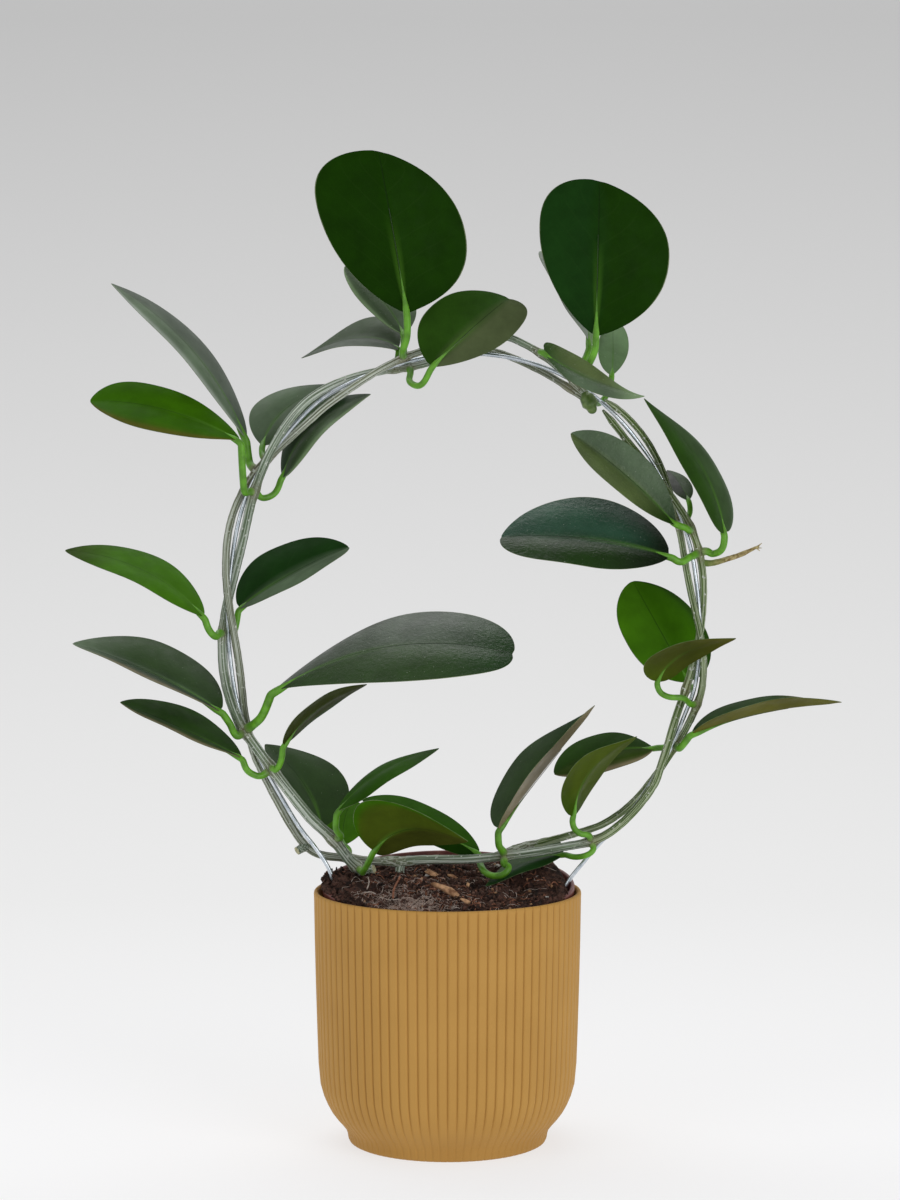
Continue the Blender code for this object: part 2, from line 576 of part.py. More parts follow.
def leaf_solid(name, leaf, stalk, finish):
    """The rings skinned with triangles, the lower face's split like the upper face's."""
    bm = bmesh.new()
    rings = [[bm.verts.new(corner) for corner in ring] for ring in leaf_rings(leaf, stalk)]
    corners = len(rings[0])
    for low, high in zip(rings, rings[1:]):
        for k in range(corners):
            n = (k + 1) % corners
            if k in (3, 4):
                bm.faces.new((low[k], low[n], high[k]))
                bm.faces.new((low[n], high[n], high[k]))
            else:
                bm.faces.new((low[k], low[n], high[n]))
                bm.faces.new((low[k], high[n], high[k]))
    bm.faces.new(rings[0][::-1])
    bm.faces.new(rings[-1])
    bmesh.ops.recalc_face_normals(bm, faces=bm.faces)
    add_object(name, mesh_from(bm, name), finish, 50)


def buried(points, depth):
    """The stretch of a route's start that lies lower than a depth, with one more point above it."""
    count = next(i for i, point in enumerate(points) if point.z > depth)
    return points[:count + 1]


def build():
    clear_scene()
    cover_pot()
    nursery_pot()
    hoop = hoop_line()
    wire_hoop(hoop)
    bark = material("grey_green_stem", (0.19, 0.22, 0.15), 0.6)
    green = material("leaf_green", (0.035, 0.1, 0.015), 0.35)
    lines = {vine.name: vine_line(vine, hoop) for vine in VINES}
    radii = {}
    for vine in VINES:
        line = lines[vine.name]
        nodes = {nearest(line, leaf.node) for leaf in LEAVES if leaf.vine == vine.name}
        radii[vine.name] = vine_radii(vine, line, nodes)
        vine_solid(vine, line, radii[vine.name], bark)
    above_soil = COVER_RIM + 14 * MM
    holes = [hole("left_wire_hole", buried(hoop, above_soil), WIRE_RADIUS),
             hole("right_wire_hole", buried(hoop[::-1], above_soil), WIRE_RADIUS)]
    for name in ("vine_left", "vine_centre"):
        holes.append(hole(name + "_hole", buried(lines[name], above_soil), radii[name][0] * NODE_SWELLING))
    soil(holes)
    for i, leaf in enumerate(LEAVES):
        stalk = stalk_line(leaf, lines[leaf.vine], radii[leaf.vine])
        leaf_solid(f"leaf_{i + 1:02d}", leaf, stalk, green)


build()
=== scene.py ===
# %% [markdown]
# # A hoya trained round a wire hoop
#
# This is a young Hoya australis. Its twining stems are wound round a hoop of bright wire, its thick waxy
# leaves stand off on short curved stalks, and it grows in a brown nursery pot that is hidden in a ribbed
# ochre cover pot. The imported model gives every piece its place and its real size. This script gives each
# of them its finished shape and surface, one step at a time.

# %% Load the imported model
import math
import random
from collections import namedtuple

import bmesh
import bpy
from mathutils import Matrix, Vector, geometry, noise


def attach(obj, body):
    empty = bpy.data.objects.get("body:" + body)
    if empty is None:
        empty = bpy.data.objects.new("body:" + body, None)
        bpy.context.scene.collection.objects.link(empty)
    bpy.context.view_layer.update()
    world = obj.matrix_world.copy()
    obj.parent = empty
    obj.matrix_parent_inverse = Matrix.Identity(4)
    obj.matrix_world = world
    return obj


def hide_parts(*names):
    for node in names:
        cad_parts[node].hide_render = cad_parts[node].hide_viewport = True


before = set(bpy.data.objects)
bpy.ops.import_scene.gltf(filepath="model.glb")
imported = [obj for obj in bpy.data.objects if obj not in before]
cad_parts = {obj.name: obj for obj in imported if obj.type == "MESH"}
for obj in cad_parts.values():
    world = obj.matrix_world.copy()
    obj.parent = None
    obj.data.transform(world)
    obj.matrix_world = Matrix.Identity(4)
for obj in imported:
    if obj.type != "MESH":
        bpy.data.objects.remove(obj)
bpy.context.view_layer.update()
print("pieces in the packed model:", len(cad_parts))

# %% [markdown]
# ## The camera
#
# The photograph was taken from about shoulder height, a little above the plant and from far enough away
# that the pot hardly narrows. The eye's place and its dip were worked out from the pot's rim and foot,
# which are circles of known size. A long lens on a tall frame then gives the same view, with no shift.

# %% Set up the camera
MM = 0.001
EYE = Vector((1.3 * MM, -1.75, 0.42))
EYE_DIP = math.radians(4.4)
VIEW_MIDDLE = (450, 600)
VIEW_FOCAL = 3367
FILM_HEIGHT = 24

lens = bpy.data.cameras.new("camera")
lens.sensor_fit = "VERTICAL"
lens.sensor_height = FILM_HEIGHT
lens.lens = FILM_HEIGHT * VIEW_FOCAL / (2 * VIEW_MIDDLE[1])
camera = bpy.data.objects.new("camera", lens)
camera.location = EYE
camera.rotation_euler = (math.pi / 2 - EYE_DIP, 0, 0)
bpy.context.scene.collection.objects.link(camera)
bpy.context.scene.camera = camera
print("lens:", round(lens.lens, 2), "mm")

# %% [markdown]
# ## Helpers for surfaces
#
# Every finish below is a Principled shader with a few nodes in front of it. Writing each node by hand
# takes many lines, so small helpers add a node, mix two colours, make noise and stretch a number to another
# range. Patterns read Object coordinates or the piece's own UV map, so that they stay on the piece when it
# is looked at from elsewhere. The last helper makes a whole finish, of one colour spotted with another.

# %% Small helpers for finishes
def new_finish(name, roughness, specular=0.5):
    made = bpy.data.materials.new(name)
    made.use_nodes = True
    shader = made.node_tree.nodes["Principled BSDF"]
    shader.inputs["Roughness"].default_value = roughness
    shader.inputs["Specular IOR Level"].default_value = specular
    return made, shader


def add(finish, kind, inputs=None, **settings):
    """Adds a node. An input is a plain value, or the socket of another node that is linked to it."""
    node = finish.node_tree.nodes.new(kind)
    for name, value in settings.items():
        setattr(node, name, value)
    for name, value in (inputs or {}).items():
        if isinstance(value, bpy.types.NodeSocket):
            finish.node_tree.links.new(value, node.inputs[name])
        else:
            node.inputs[name].default_value = value
    return node


def mixed(finish, share, first, second):
    """A colour between two others. Each of the three is a value or a socket."""
    first, second = ((*value, 1) if isinstance(value, tuple) else value for value in (first, second))
    return add(finish, "ShaderNodeMix", {0: share, 6: first, 7: second}, data_type="RGBA").outputs[2]


def math_node(finish, operation, first, second=0.0, clamp=False):
    node = add(finish, "ShaderNodeMath", {0: first, 1: second}, operation=operation, use_clamp=clamp)
    return node.outputs[0]


def stretched(finish, value, low_shade, high, to_low=0.0, to_high=1.0):
    """Maps a range of a number to another range and clamps it."""
    node = add(finish, "ShaderNodeMapRange", {"Value": value, "From Min": low_shade, "From Max": high,
                                              "To Min": to_low, "To Max": to_high})
    return node.outputs["Result"]


def mottle(finish, scale, detail=3.0, roughness=0.5, where=None):
    """Noise on the piece itself, from 0 to 1."""
    where = where or add(finish, "ShaderNodeTexCoord").outputs["Object"]
    node = add(finish, "ShaderNodeTexNoise", {"Vector": where, "Scale": scale, "Detail": detail,
                                              "Roughness": roughness})
    return node.outputs["Fac"]


def place_parts(finish, kind="Object"):
    """The place on the piece, or in its UV map, as separate numbers."""
    where = add(finish, "ShaderNodeTexCoord").outputs[kind]
    return add(finish, "ShaderNodeSeparateXYZ", {0: where}).outputs


def raise_bumps(finish, shader, height, distance, strength=1.0):
    bump = add(finish, "ShaderNodeBump", {"Height": height, "Distance": distance, "Strength": strength})
    finish.node_tree.links.new(bump.outputs["Normal"], shader.inputs["Normal"])


def paint(finish, shader, **inputs):
    """Links sockets to the shader, such as base_color=..., roughness=..."""
    for name, socket in inputs.items():
        finish.node_tree.links.new(socket, shader.inputs[name.replace("_", " ").title()])


def two_tone(name, roughness, specular, spots, reach, dark, light, bumps=None):
    """A dark finish spotted with a light one. The spots and the bumps are noises, the bumps with a height
    and a strength, and the reach is the part of the noise that runs from dark to light."""
    finish, shader = new_finish(name, roughness, specular)
    share = stretched(finish, mottle(finish, *spots), *reach)
    paint(finish, shader, base_color=mixed(finish, share, dark, light))
    if bumps:
        grain, distance, strength = bumps
        raise_bumps(finish, shader, mottle(finish, *grain), distance, strength)
    return finish

# %% [markdown]
# ## Helpers for routes
#
# The routes of the plant were read off the photograph, so a place in the photograph with a depth gives a
# point in space. The same sums are used in the model, which keeps the finished leaves and stems exactly
# where the model's are. A route is a few places with a smooth curve through them. Two soft steps are used
# wherever something fades in or out: one runs from 0 to 1, and one is like a bell.

# %% Places and routes
def seen(across, down, depth):
    """The point at a place of the photograph, so many millimetres behind the pot's axis."""
    right = (across - VIEW_MIDDLE[0]) / VIEW_FOCAL
    up = (VIEW_MIDDLE[1] - down) / VIEW_FOCAL
    level = math.cos(EYE_DIP) + up * math.sin(EYE_DIP)
    forward = Vector((right, level, up * math.cos(EYE_DIP) - math.sin(EYE_DIP)))
    return EYE + forward * ((depth * MM - EYE.y) / forward.y)


def route_seen(places):
    return [seen(*place) for place in places]


def place_in_view(point):
    """The place of a point in the photograph, the other way round from seen."""
    away = point - EYE
    distance = away.y * math.cos(EYE_DIP) - away.z * math.sin(EYE_DIP)
    height = away.y * math.sin(EYE_DIP) + away.z * math.cos(EYE_DIP)
    return Vector(VIEW_MIDDLE) + Vector((away.x, -height)) * VIEW_FOCAL / distance


def smooth(points, step):
    """Points about a step apart on a smooth curve through the given ones."""
    last = len(points) - 1
    lean = [(points[min(i + 1, last)] - points[max(i - 1, 0)]).normalized() for i in range(last + 1)]
    made = []
    for i in range(last):
        start, end = points[i], points[i + 1]
        pull = (end - start).length / 3
        count = max(1, round((end - start).length / step))
        made += geometry.interpolate_bezier(
            start, start + lean[i] * pull, end - lean[i + 1] * pull, end, count + 1)[:-1]
    return made + [points[last]]


def spaced(points, count):
    """So many points, evenly spaced along a polyline."""
    lengths = [0]
    for a, b in zip(points, points[1:]):
        lengths.append(lengths[-1] + (b - a).length)
    made = []
    k = 0
    for i in range(count):
        at = lengths[-1] * i / (count - 1)
        while k < len(points) - 2 and lengths[k + 1] < at:
            k += 1
        made.append(points[k].lerp(points[k + 1], (at - lengths[k]) / (lengths[k + 1] - lengths[k])))
    return made


def length_of(points):
    return sum((b - a).length for a, b in zip(points, points[1:]))


def direction(points, i):
    return (points[min(i + 1, len(points) - 1)] - points[max(i - 1, 0)]).normalized()


def nearest(points, place):
    """The number of the point that lies nearest to a place of the photograph."""
    return min(range(len(points)), key=lambda i: (place_in_view(points[i]) - Vector(place)).length)


def eased(share):
    """A soft step from 0 to 1."""
    share = min(1, max(0, share))
    return share * share * (3 - 2 * share)


def bell(distance, width):
    """From 1 at no distance to 0 far away."""
    return math.exp(-(distance / width) ** 2)

# %% [markdown]
# ## Helpers for pieces
#
# A wire, a stem, a stalk and a fibre are all tubes: a curve with a round bevel and a radius at each of its
# points, made into a mesh. A finished mesh is turned into a piece in one place, where it gets its finishes,
# its smooth faces, the body that it rides on and the nodes of the model that it stands for.

# %% Tubes and pieces
def finished(bm, name):
    """The mesh of a shape whose editing is over."""
    mesh = bpy.data.meshes.new(name)
    bm.to_mesh(mesh)
    bm.free()
    return mesh


def tubes(name, routes, roundness=2):
    """One mesh of a tube round each route. A route is a list of points with a list of radii."""
    curve = bpy.data.curves.new(name, "CURVE")
    curve.dimensions = "3D"
    curve.bevel_depth = 1
    curve.bevel_resolution = roundness
    curve.use_fill_caps = True
    for points, radii in routes:
        spline = curve.splines.new("POLY")
        spline.points.add(len(points) - 1)
        for place, point, radius in zip(spline.points, points, radii):
            place.co = (*point, 1)
            place.radius = radius
    guide = bpy.data.objects.new(name, curve)
    mesh = bpy.data.meshes.new_from_object(guide)
    mesh.name = name
    bpy.data.objects.remove(guide)
    bm = bmesh.new()
    bm.from_mesh(mesh)
    bmesh.ops.remove_doubles(bm, verts=bm.verts, dist=0.001 * MM)
    bmesh.ops.recalc_face_normals(bm, faces=bm.faces)
    bm.to_mesh(mesh)
    bm.free()
    return mesh


def add_piece(name, mesh, finishes, nodes, sharp=50):
    """Puts a finished piece in the scene, on the one body, in the place of nodes of the model."""
    for finish in finishes:
        mesh.materials.append(finish)
    mesh.shade_smooth()
    mesh.set_sharp_from_angle(angle=math.radians(sharp))
    piece = bpy.data.objects.new(name, mesh)
    bpy.context.scene.collection.objects.link(piece)
    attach(piece, "root")
    if nodes:
        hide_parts(*nodes)
    return piece

# %% [markdown]
# ## The stage
#
# The plant stands on a plain pale floor that curves up behind it, as in a photographer's studio, so no
# corner is seen. The sheet is a short profile that is extruded sideways. Its grey deepens with height and
# towards the back, which is painted shade. It is also given a painted glow, though it is no lamp, which
# takes away the shadow on the floor.

# %% Make the floor and the backdrop
FLOOR_FRONT, FLOOR_BACK, WALL_TOP = -3.0, 1.6, 3.2
CURVE_RADIUS = 0.9
CURVE_STEPS = 12
SHEET_HALF_WIDTH = 4.0
PAPER_NEAR, PAPER_BEHIND, PAPER_HIGH = (0.585, 0.585, 0.59), (0.52, 0.52, 0.52), (0.325, 0.325, 0.325)
PAPER_PAINTED_GLOW = 1.13
PAPER_PIGMENT = 0.55

bm = bmesh.new()
profile = [(FLOOR_FRONT, 0)]
for step in range(CURVE_STEPS + 1):
    turn = math.radians(90 * step / CURVE_STEPS)
    profile.append((FLOOR_BACK - CURVE_RADIUS * (1 - math.sin(turn)), CURVE_RADIUS * (1 - math.cos(turn))))
profile.append((FLOOR_BACK, WALL_TOP))
line = [bm.verts.new((-SHEET_HALF_WIDTH, y, z)) for y, z in profile]
edges = [bm.edges.new(pair) for pair in zip(line, line[1:])]
swept = bmesh.ops.extrude_edge_only(bm, edges=edges)["geom"]
moved = [item for item in swept if isinstance(item, bmesh.types.BMVert)]
bmesh.ops.translate(bm, verts=moved, vec=(2 * SHEET_HALF_WIDTH, 0, 0))
bmesh.ops.recalc_face_normals(bm, faces=bm.faces)
sheet = finished(bm, "backdrop")

paper, shader = new_finish("studio_paper", 0.9, 0.0)
place = place_parts(paper)
# Painted shade: the paper's grey is darkened up the sheet and towards the back.
up_the_sheet = math_node(paper, "ADD", place["Z"], math_node(paper, "MULTIPLY", place["Y"], 0.2))
low_shade = mixed(paper, stretched(paper, up_the_sheet, 0.0, 0.15), PAPER_NEAR, PAPER_BEHIND)
shade = mixed(paper, stretched(paper, up_the_sheet, 0.15, 1.05), low_shade, PAPER_HIGH)
# Painted glow: the paper gives off light in its own grey, which washes out the shadow on the floor.
paint(paper, shader, base_color=mixed(paper, PAPER_PIGMENT, (0, 0, 0), shade), emission_color=shade)
shader.inputs["Emission Strength"].default_value = PAPER_PAINTED_GLOW
sheet.materials.append(paper)
sheet.shade_smooth()
backdrop = bpy.data.objects.new("backdrop", sheet)
bpy.context.scene.collection.objects.link(backdrop)
print("corners of the backdrop's profile:", len(profile))

# %% [markdown]
# ## The light
#
# The light is soft and comes from all round. A large lamp above and behind the plant gives the upper faces
# of the leaves a grey sheen. A second one in front and to the right shows the pot's ribs, and a weak third
# one on the left keeps the shade open. A pale world fills in the rest.

# %% Set up the lights
def soft_light(name, place, aim, width, height, watts):
    lamp = bpy.data.lights.new(name, "AREA")
    lamp.shape = "RECTANGLE"
    lamp.size, lamp.size_y = width, height
    lamp.energy = watts
    made = bpy.data.objects.new(name, lamp)
    made.location = place
    made.rotation_euler = (Vector(aim) - Vector(place)).to_track_quat("-Z", "Y").to_euler()
    bpy.context.scene.collection.objects.link(made)


PLANT_MIDDLE = (0, 0, 0.28)
soft_light("sky_above_behind", (-0.3, 0.8, 1.7), PLANT_MIDDLE, 1.8, 1.0, 12)
soft_light("front_right", (1.5, -1.9, 0.9), PLANT_MIDDLE, 1.4, 1.4, 20)
soft_light("front_left", (-1.8, -1.4, 0.9), PLANT_MIDDLE, 1.2, 1.2, 7)
world = bpy.data.worlds.new("studio")
world.use_nodes = True
world.node_tree.nodes["Background"].inputs["Color"].default_value = (1, 1, 1, 1)
world.node_tree.nodes["Background"].inputs["Strength"].default_value = 0.45
bpy.context.scene.world = world
bpy.context.scene.view_settings.view_transform = "Standard"

# %% [markdown]
# ## The cover pot
#
# The cover pot is moulded in matt ochre plastic with 84 upright ribs. The grooves between them are narrow
# and round, and they run from the foot up to a plain thin rim. A disc with several corners to a rib is
# extruded level by level, and at each level its corners are moved out to the pot's profile. A groove
# is a smooth dip, so it catches a fine line of shade.

# %% Shape the ribbed cover pot
RIBS = 84
CORNERS_PER_RIB = 10
GROOVE_DEPTH = 0.7 * MM
GROOVE_SHARE = 0.2
FOOT_FADE = (3 * MM, 22 * MM)
COVER_FLOOR = 4 * MM
RIM_FADE = 2.2 * MM
COVER_PROFILE = [(0, 50.4), (0.6, 51.6), (2, 52.3), (4.5, 52.7), (7, 53.5), (10, 55.8), (13, 58.5),
                 (16.5, 61.1), (20.5, 63.3), (25, 65.2), (31, 66.9), (42, 67.9), (60, 68.5), (85, 69.2),
                 (108, 69.7), (129, 70.0), (131.2, 70.1), (132.2, 70.0), (132.8, 69.6), (133, 69.0),
                 (132.8, 68.3), (132.2, 67.8), (131, 67.5)]
COVER_INSIDE = [(100, 66.7), (60, 65.6), (32, 64.2), (22, 61.2), (14, 56.7), (8, 50.0), (4.4, 44.0),
                (4, 40.0)]


def groove(share):
    """Depth of the groove at a share of a rib's width, from 1 in the groove to 0 on the rib."""
    off = min(share, 1 - share) / GROOVE_SHARE
    return 0.5 + 0.5 * math.cos(math.pi * off) if off < 1 else 0.0


bm = bmesh.new()
corners = RIBS * CORNERS_PER_RIB
bmesh.ops.create_circle(bm, segments=corners, radius=1, cap_ends=True)
face = bm.faces[:][0]
rounds = [(height, radius, 1.0) for height, radius in COVER_PROFILE]
rounds += [(height, radius, 0.0) for height, radius in COVER_INSIDE]
rim_top = max(height for height, _ in COVER_PROFILE) * MM
past_rim = False
for number, (height, radius, ribbed) in enumerate(rounds):
    if number:
        made = bmesh.ops.extrude_face_region(bm, geom=[face, *face.edges, *face.verts])["geom"]
        face = next(item for item in made if isinstance(item, bmesh.types.BMFace))
    past_rim = past_rim or height * MM >= rim_top
    fade = 0 if past_rim else ribbed * min(1, (rim_top - height * MM) / RIM_FADE)
    above_foot = (height * MM - FOOT_FADE[0]) / (FOOT_FADE[1] - FOOT_FADE[0])
    fade *= 0.45 + 0.55 * min(1, max(0, above_foot))
    for vert in face.verts:
        turn = math.atan2(vert.co.y, vert.co.x) % (2 * math.pi)
        out = radius * MM - GROOVE_DEPTH * fade * groove(turn * RIBS / (2 * math.pi) % 1)
        vert.co = (out * math.cos(turn), out * math.sin(turn), height * MM)
bmesh.ops.recalc_face_normals(bm, faces=bm.faces)
pot = finished(bm, "cover_pot_ribbed")
print("corners round the cover pot:", corners)

# %% [markdown]
# ## The ochre finish
#
# The plastic is matt and slightly uneven, with the finest of grains. Its colour is warm ochre, with painted
# shade that makes it a little deeper in the grooves and under the bend at the foot. The groove's painted
# shade is set by the turn round the pot, which is an Arctangent of the Object coordinates, so it follows the
# ribs exactly.

# %% Give the cover pot its finish
OCHRE = (0.49, 0.268, 0.066)
# The second ochre is the painted shade in the grooves and under the foot's bend.
OCHRE_SHADE = (0.32, 0.155, 0.030)

ochre, shader = new_finish("ochre_plastic_matt", 0.62, 0.2)
place = place_parts(ochre)
turn = math_node(ochre, "ARCTAN2", place["Y"], place["X"])
share = math_node(ochre, "FRACT", math_node(ochre, "MULTIPLY", turn, RIBS / (2 * math.pi)))
from_groove = math_node(ochre, "PINGPONG", share, 0.5)
# Painted shade: the grooves are darkened, more so higher up, and so is the bend at the foot.
groove_shade_upward = stretched(ochre, place["Z"], 0.004, 0.03, 0.15, 0.6)
groove_shade = math_node(ochre, "MULTIPLY", stretched(ochre, from_groove, 0.02, 0.11, 1.0, 0.0), groove_shade_upward)
low_shade = stretched(ochre, place["Z"], 0.004, 0.03, 0.35, 0.0)
cloud = stretched(ochre, mottle(ochre, 34, 2), 0.3, 0.7, 0.0, 0.16)
depth = math_node(ochre, "MAXIMUM", groove_shade, low_shade)
colour = mixed(ochre, math_node(ochre, "ADD", depth, cloud, clamp=True), OCHRE, OCHRE_SHADE)
paint(ochre, shader, base_color=colour)
raise_bumps(ochre, shader, mottle(ochre, 1900, 2), 0.00012, 0.5)
add_piece("cover_pot_ribbed", pot, [ochre], ["cover_pot"], sharp=60)

# %% [markdown]
# ## The nursery pot
#
# The brown pot that the plant was grown in stands inside, leaning a little to the front. Only its rolled rim
# shows, behind the stems. It is a thin wall turned about its axis from a profile and then tilted.

# %% Turn the nursery pot
NURSERY_LEAN = math.radians(6.5)
NURSERY_MIDDLE = Vector((0.6 * MM, 0, 136.5 * MM))
NURSERY_FOOT_RADIUS = 41 * MM
NURSERY_TURN = 96
nursery_place = Matrix.Translation(NURSERY_MIDDLE) @ Matrix.Rotation(NURSERY_LEAN, 4, "X")
nursery_depth = NURSERY_MIDDLE.z - COVER_FLOOR - 0.3 * MM - NURSERY_FOOT_RADIUS * math.sin(NURSERY_LEAN)
nursery_depth /= math.cos(NURSERY_LEAN)


def turned(profile, segments, name):
    """A mesh turned about Z from a profile of radii and heights in millimetres, closed at the axis."""
    bm = bmesh.new()
    corners = [bm.verts.new((radius * MM, 0, height * MM)) for radius, height in profile]
    edges = [bm.edges.new(pair) for pair in zip(corners, corners[1:])]
    bmesh.ops.spin(bm, geom=corners + edges, cent=(0, 0, 0), axis=(0, 0, 1), dvec=(0, 0, 0),
                   angle=2 * math.pi, steps=segments, use_merge=True)
    bmesh.ops.remove_doubles(bm, verts=bm.verts, dist=0.01 * MM)
    bmesh.ops.recalc_face_normals(bm, faces=bm.faces)
    return finished(bm, name)


NURSERY_RIM = [(63.7, -5.0), (65.6, -5.0), (66, -4.5), (66, -0.8), (65.7, -0.2), (65.2, 0), (64.4, -0.1),
               (64.0, -0.8), (62.8, -8)]
foot = -nursery_depth / MM
wall = [(0, foot), (39.5, foot), (41, foot + 1.5), *NURSERY_RIM, (40, foot + 1.2), (0, foot + 1.2)]
nursery = turned(wall, NURSERY_TURN, "nursery_pot_rolled")
nursery.transform(nursery_place)
brown = two_tone("brown_plastic_worn", 0.42, 0.45, (120, 4, 0.65), (0.45, 0.75), (0.15, 0.035, 0.03),
                 (0.27, 0.10, 0.075), bumps=((900, 2), 0.0001, 0.4))
add_piece("nursery_pot_rolled", nursery, [brown], ["nursery_pot"], sharp=60)
print("nursery pot depth:", round(nursery_depth / MM, 1), "mm")

# %% [markdown]
# ## The soil
#
# The pot is filled with dark moist coir with bark in it. It is banked up at the left, at the right and round
# the stems, and is low in front. A turned plug is given rings just over a millimetre apart, and its top is
# raised with noise, first for the lie of the soil and then for its crumbs, in three sizes.

# %% Shape the soil
SOIL_SEED = Vector((4.1, 7.3, 2.9))
SOIL_TURN = 150
SOIL_RING_STEP = 1.3
SOIL_EDGE = 63.4 * MM
SOIL_SUNK = 2.2 * MM
SOIL_BANKS = [(-60, 2, 5.6, 17), (50, 24, 7, 24), (-18, 10, 5, 28)]
SOIL_NOISES = [(260, 1.1, 1), (620, 0.7, -1), (1400, 0.3, 2)]


def soil_height(x, y):
    """Height of the soil over the nursery rim's plane. A bank is its place, its height and its width."""
    banks = sum(height * MM * bell(math.hypot(x - across * MM, y - back * MM), width * MM)
                for across, back, height, width in SOIL_BANKS)
    lumps = 2.2 * MM * noise.noise(Vector((x, y, 0)) * 90 + SOIL_SEED)
    return banks + lumps - SOIL_SUNK


def soil_top(x, y):
    """The height of the finished soil and its crumbs at a place in the nursery pot's own frame."""
    share = min(1, max(0, (SOIL_EDGE - math.hypot(x, y)) / (3 * MM)))
    crumbly = sum(height * MM * noise.noise(Vector((x, y, 0)) * scale + SOIL_SEED * seed)
                  for scale, height, seed in SOIL_NOISES)
    return share * soil_height(x, y) - (1 - share) * 3.5 * MM + crumbly


foot = 1.5 - nursery_depth / MM
rings = [step * SOIL_RING_STEP for step in range(int(SOIL_EDGE / MM / SOIL_RING_STEP), 0, -1)]
plug = [(0, foot), (39.4, foot), (62.0, -8), (SOIL_EDGE / MM - 0.6, -4.6)]
soil = turned(plug + [(radius, 0) for radius in rings] + [(0, 0)], SOIL_TURN, "soil_coir")
for vert in soil.vertices:
    if vert.co.z > -4 * MM:
        vert.co.z = soil_top(vert.co.x, vert.co.y)
soil.transform(nursery_place)
print("soil faces:", len(soil.polygons))

# %% [markdown]
# ## The soil's finish
#
# Moist coir is nearly black and dry coir is reddish brown. Fine noise mixes the two, a finer one adds pale
# dust, and a coarse one paints shade: it darkens whole patches nearly to black, as the shaded gaps between
# the clumps look.

# %% Give the soil its finish
coir, shader = new_finish("dark_soil_coir", 0.9, 0.25)
grain = mottle(coir, 420, 6, 0.7)
dark = mixed(coir, stretched(coir, grain, 0.35, 0.62), (0.007, 0.0034, 0.0028), (0.135, 0.064, 0.047))
pale = stretched(coir, mottle(coir, 900, 4, 0.8), 0.58, 0.70, 0, 0.7)
crumbly = mixed(coir, pale, dark, (0.30, 0.185, 0.13))
# Painted shade: coarse patches darkened nearly to black, for the shaded gaps between the clumps.
gap_shade = stretched(coir, mottle(coir, 120, 3), 0.50, 0.62, 0.0, 0.75)
paint(coir, shader, base_color=mixed(coir, gap_shade, crumbly, (0.006, 0.0035, 0.003)))
raise_bumps(coir, shader, mottle(coir, 1300, 5, 0.7), 0.0012, 0.8)
add_piece("soil_coir", soil, [coir], ["soil"], sharp=80)
print("nodes in the soil's finish:", len(coir.node_tree.nodes))

# %% [markdown]
# ## The wire hoop
#
# The support is one bright galvanised wire, bent to a hoop, with both ends pushed down into the soil. A
# curve with a round bevel is the usual way to make a wire. Its route is a list of places in the photograph,
# all in the plane of the pot's axis.

# %% Bend the wire hoop
WIRE_RADIUS = 1.1 * MM
WIRE_STEP = 4 * MM
HOOP_ROUTE = [
    (348, 970), (338, 919), (331, 874), (317, 850), (300, 828), (283, 800), (265, 768),
    (245, 728), (233, 680), (228, 610), (234, 545), (246, 498), (270, 455), (318, 402),
    (366, 376), (400, 364), (440, 355), (480, 354), (520, 360), (560, 374), (594, 396),
    (621, 421), (647, 454), (665, 484), (680, 514), (691, 550), (696, 580), (699, 610),
    (700, 650), (694, 690), (685, 714), (669, 751), (649, 786), (628, 815), (600, 843),
    (582, 864), (567, 884), (556, 919), (547, 970),
]
hoop_places = [seen(*place, 0) for place in HOOP_ROUTE]
hoop = smooth(hoop_places, 12 * MM)
wire_line = smooth(hoop_places, WIRE_STEP)

wire = tubes("wire_hoop_bright", [(wire_line, [WIRE_RADIUS] * len(wire_line))], roundness=4)
zinc, shader = new_finish("bright_wire_zinc", 0.35)
shader.inputs["Metallic"].default_value = 1.0
spangle = stretched(zinc, mottle(zinc, 240, 3), 0.3, 0.7)
paint(zinc, shader, base_color=mixed(zinc, spangle, (0.42, 0.48, 0.53), (0.68, 0.72, 0.76)),
      roughness=stretched(zinc, mottle(zinc, 600, 2), 0.3, 0.7, 0.2, 0.4))
add_piece("wire_hoop_bright", wire, [zinc], ["wire_hoop"])
print("wire length:", round(length_of(wire_line), 3), "m")

# %% [markdown]
# ## Where the stems run
#
# Four woody stems wind round the wire side by side. Each comes out of the soil, or off a thicker stem, and
# then goes round the wire at an even pitch. Its route is a list of places up to the wire, then a spiral
# round part of the hoop, and for the longest stem another list of places where it leaves the wire.

# %% Lay out the stems
WIND_RADIUS = 4.1 * MM
WIND_TURNS = 5.5
HOOP_MARKS = 240
WIND_STRIDE = 3
STEM_STEP = 1.6 * MM

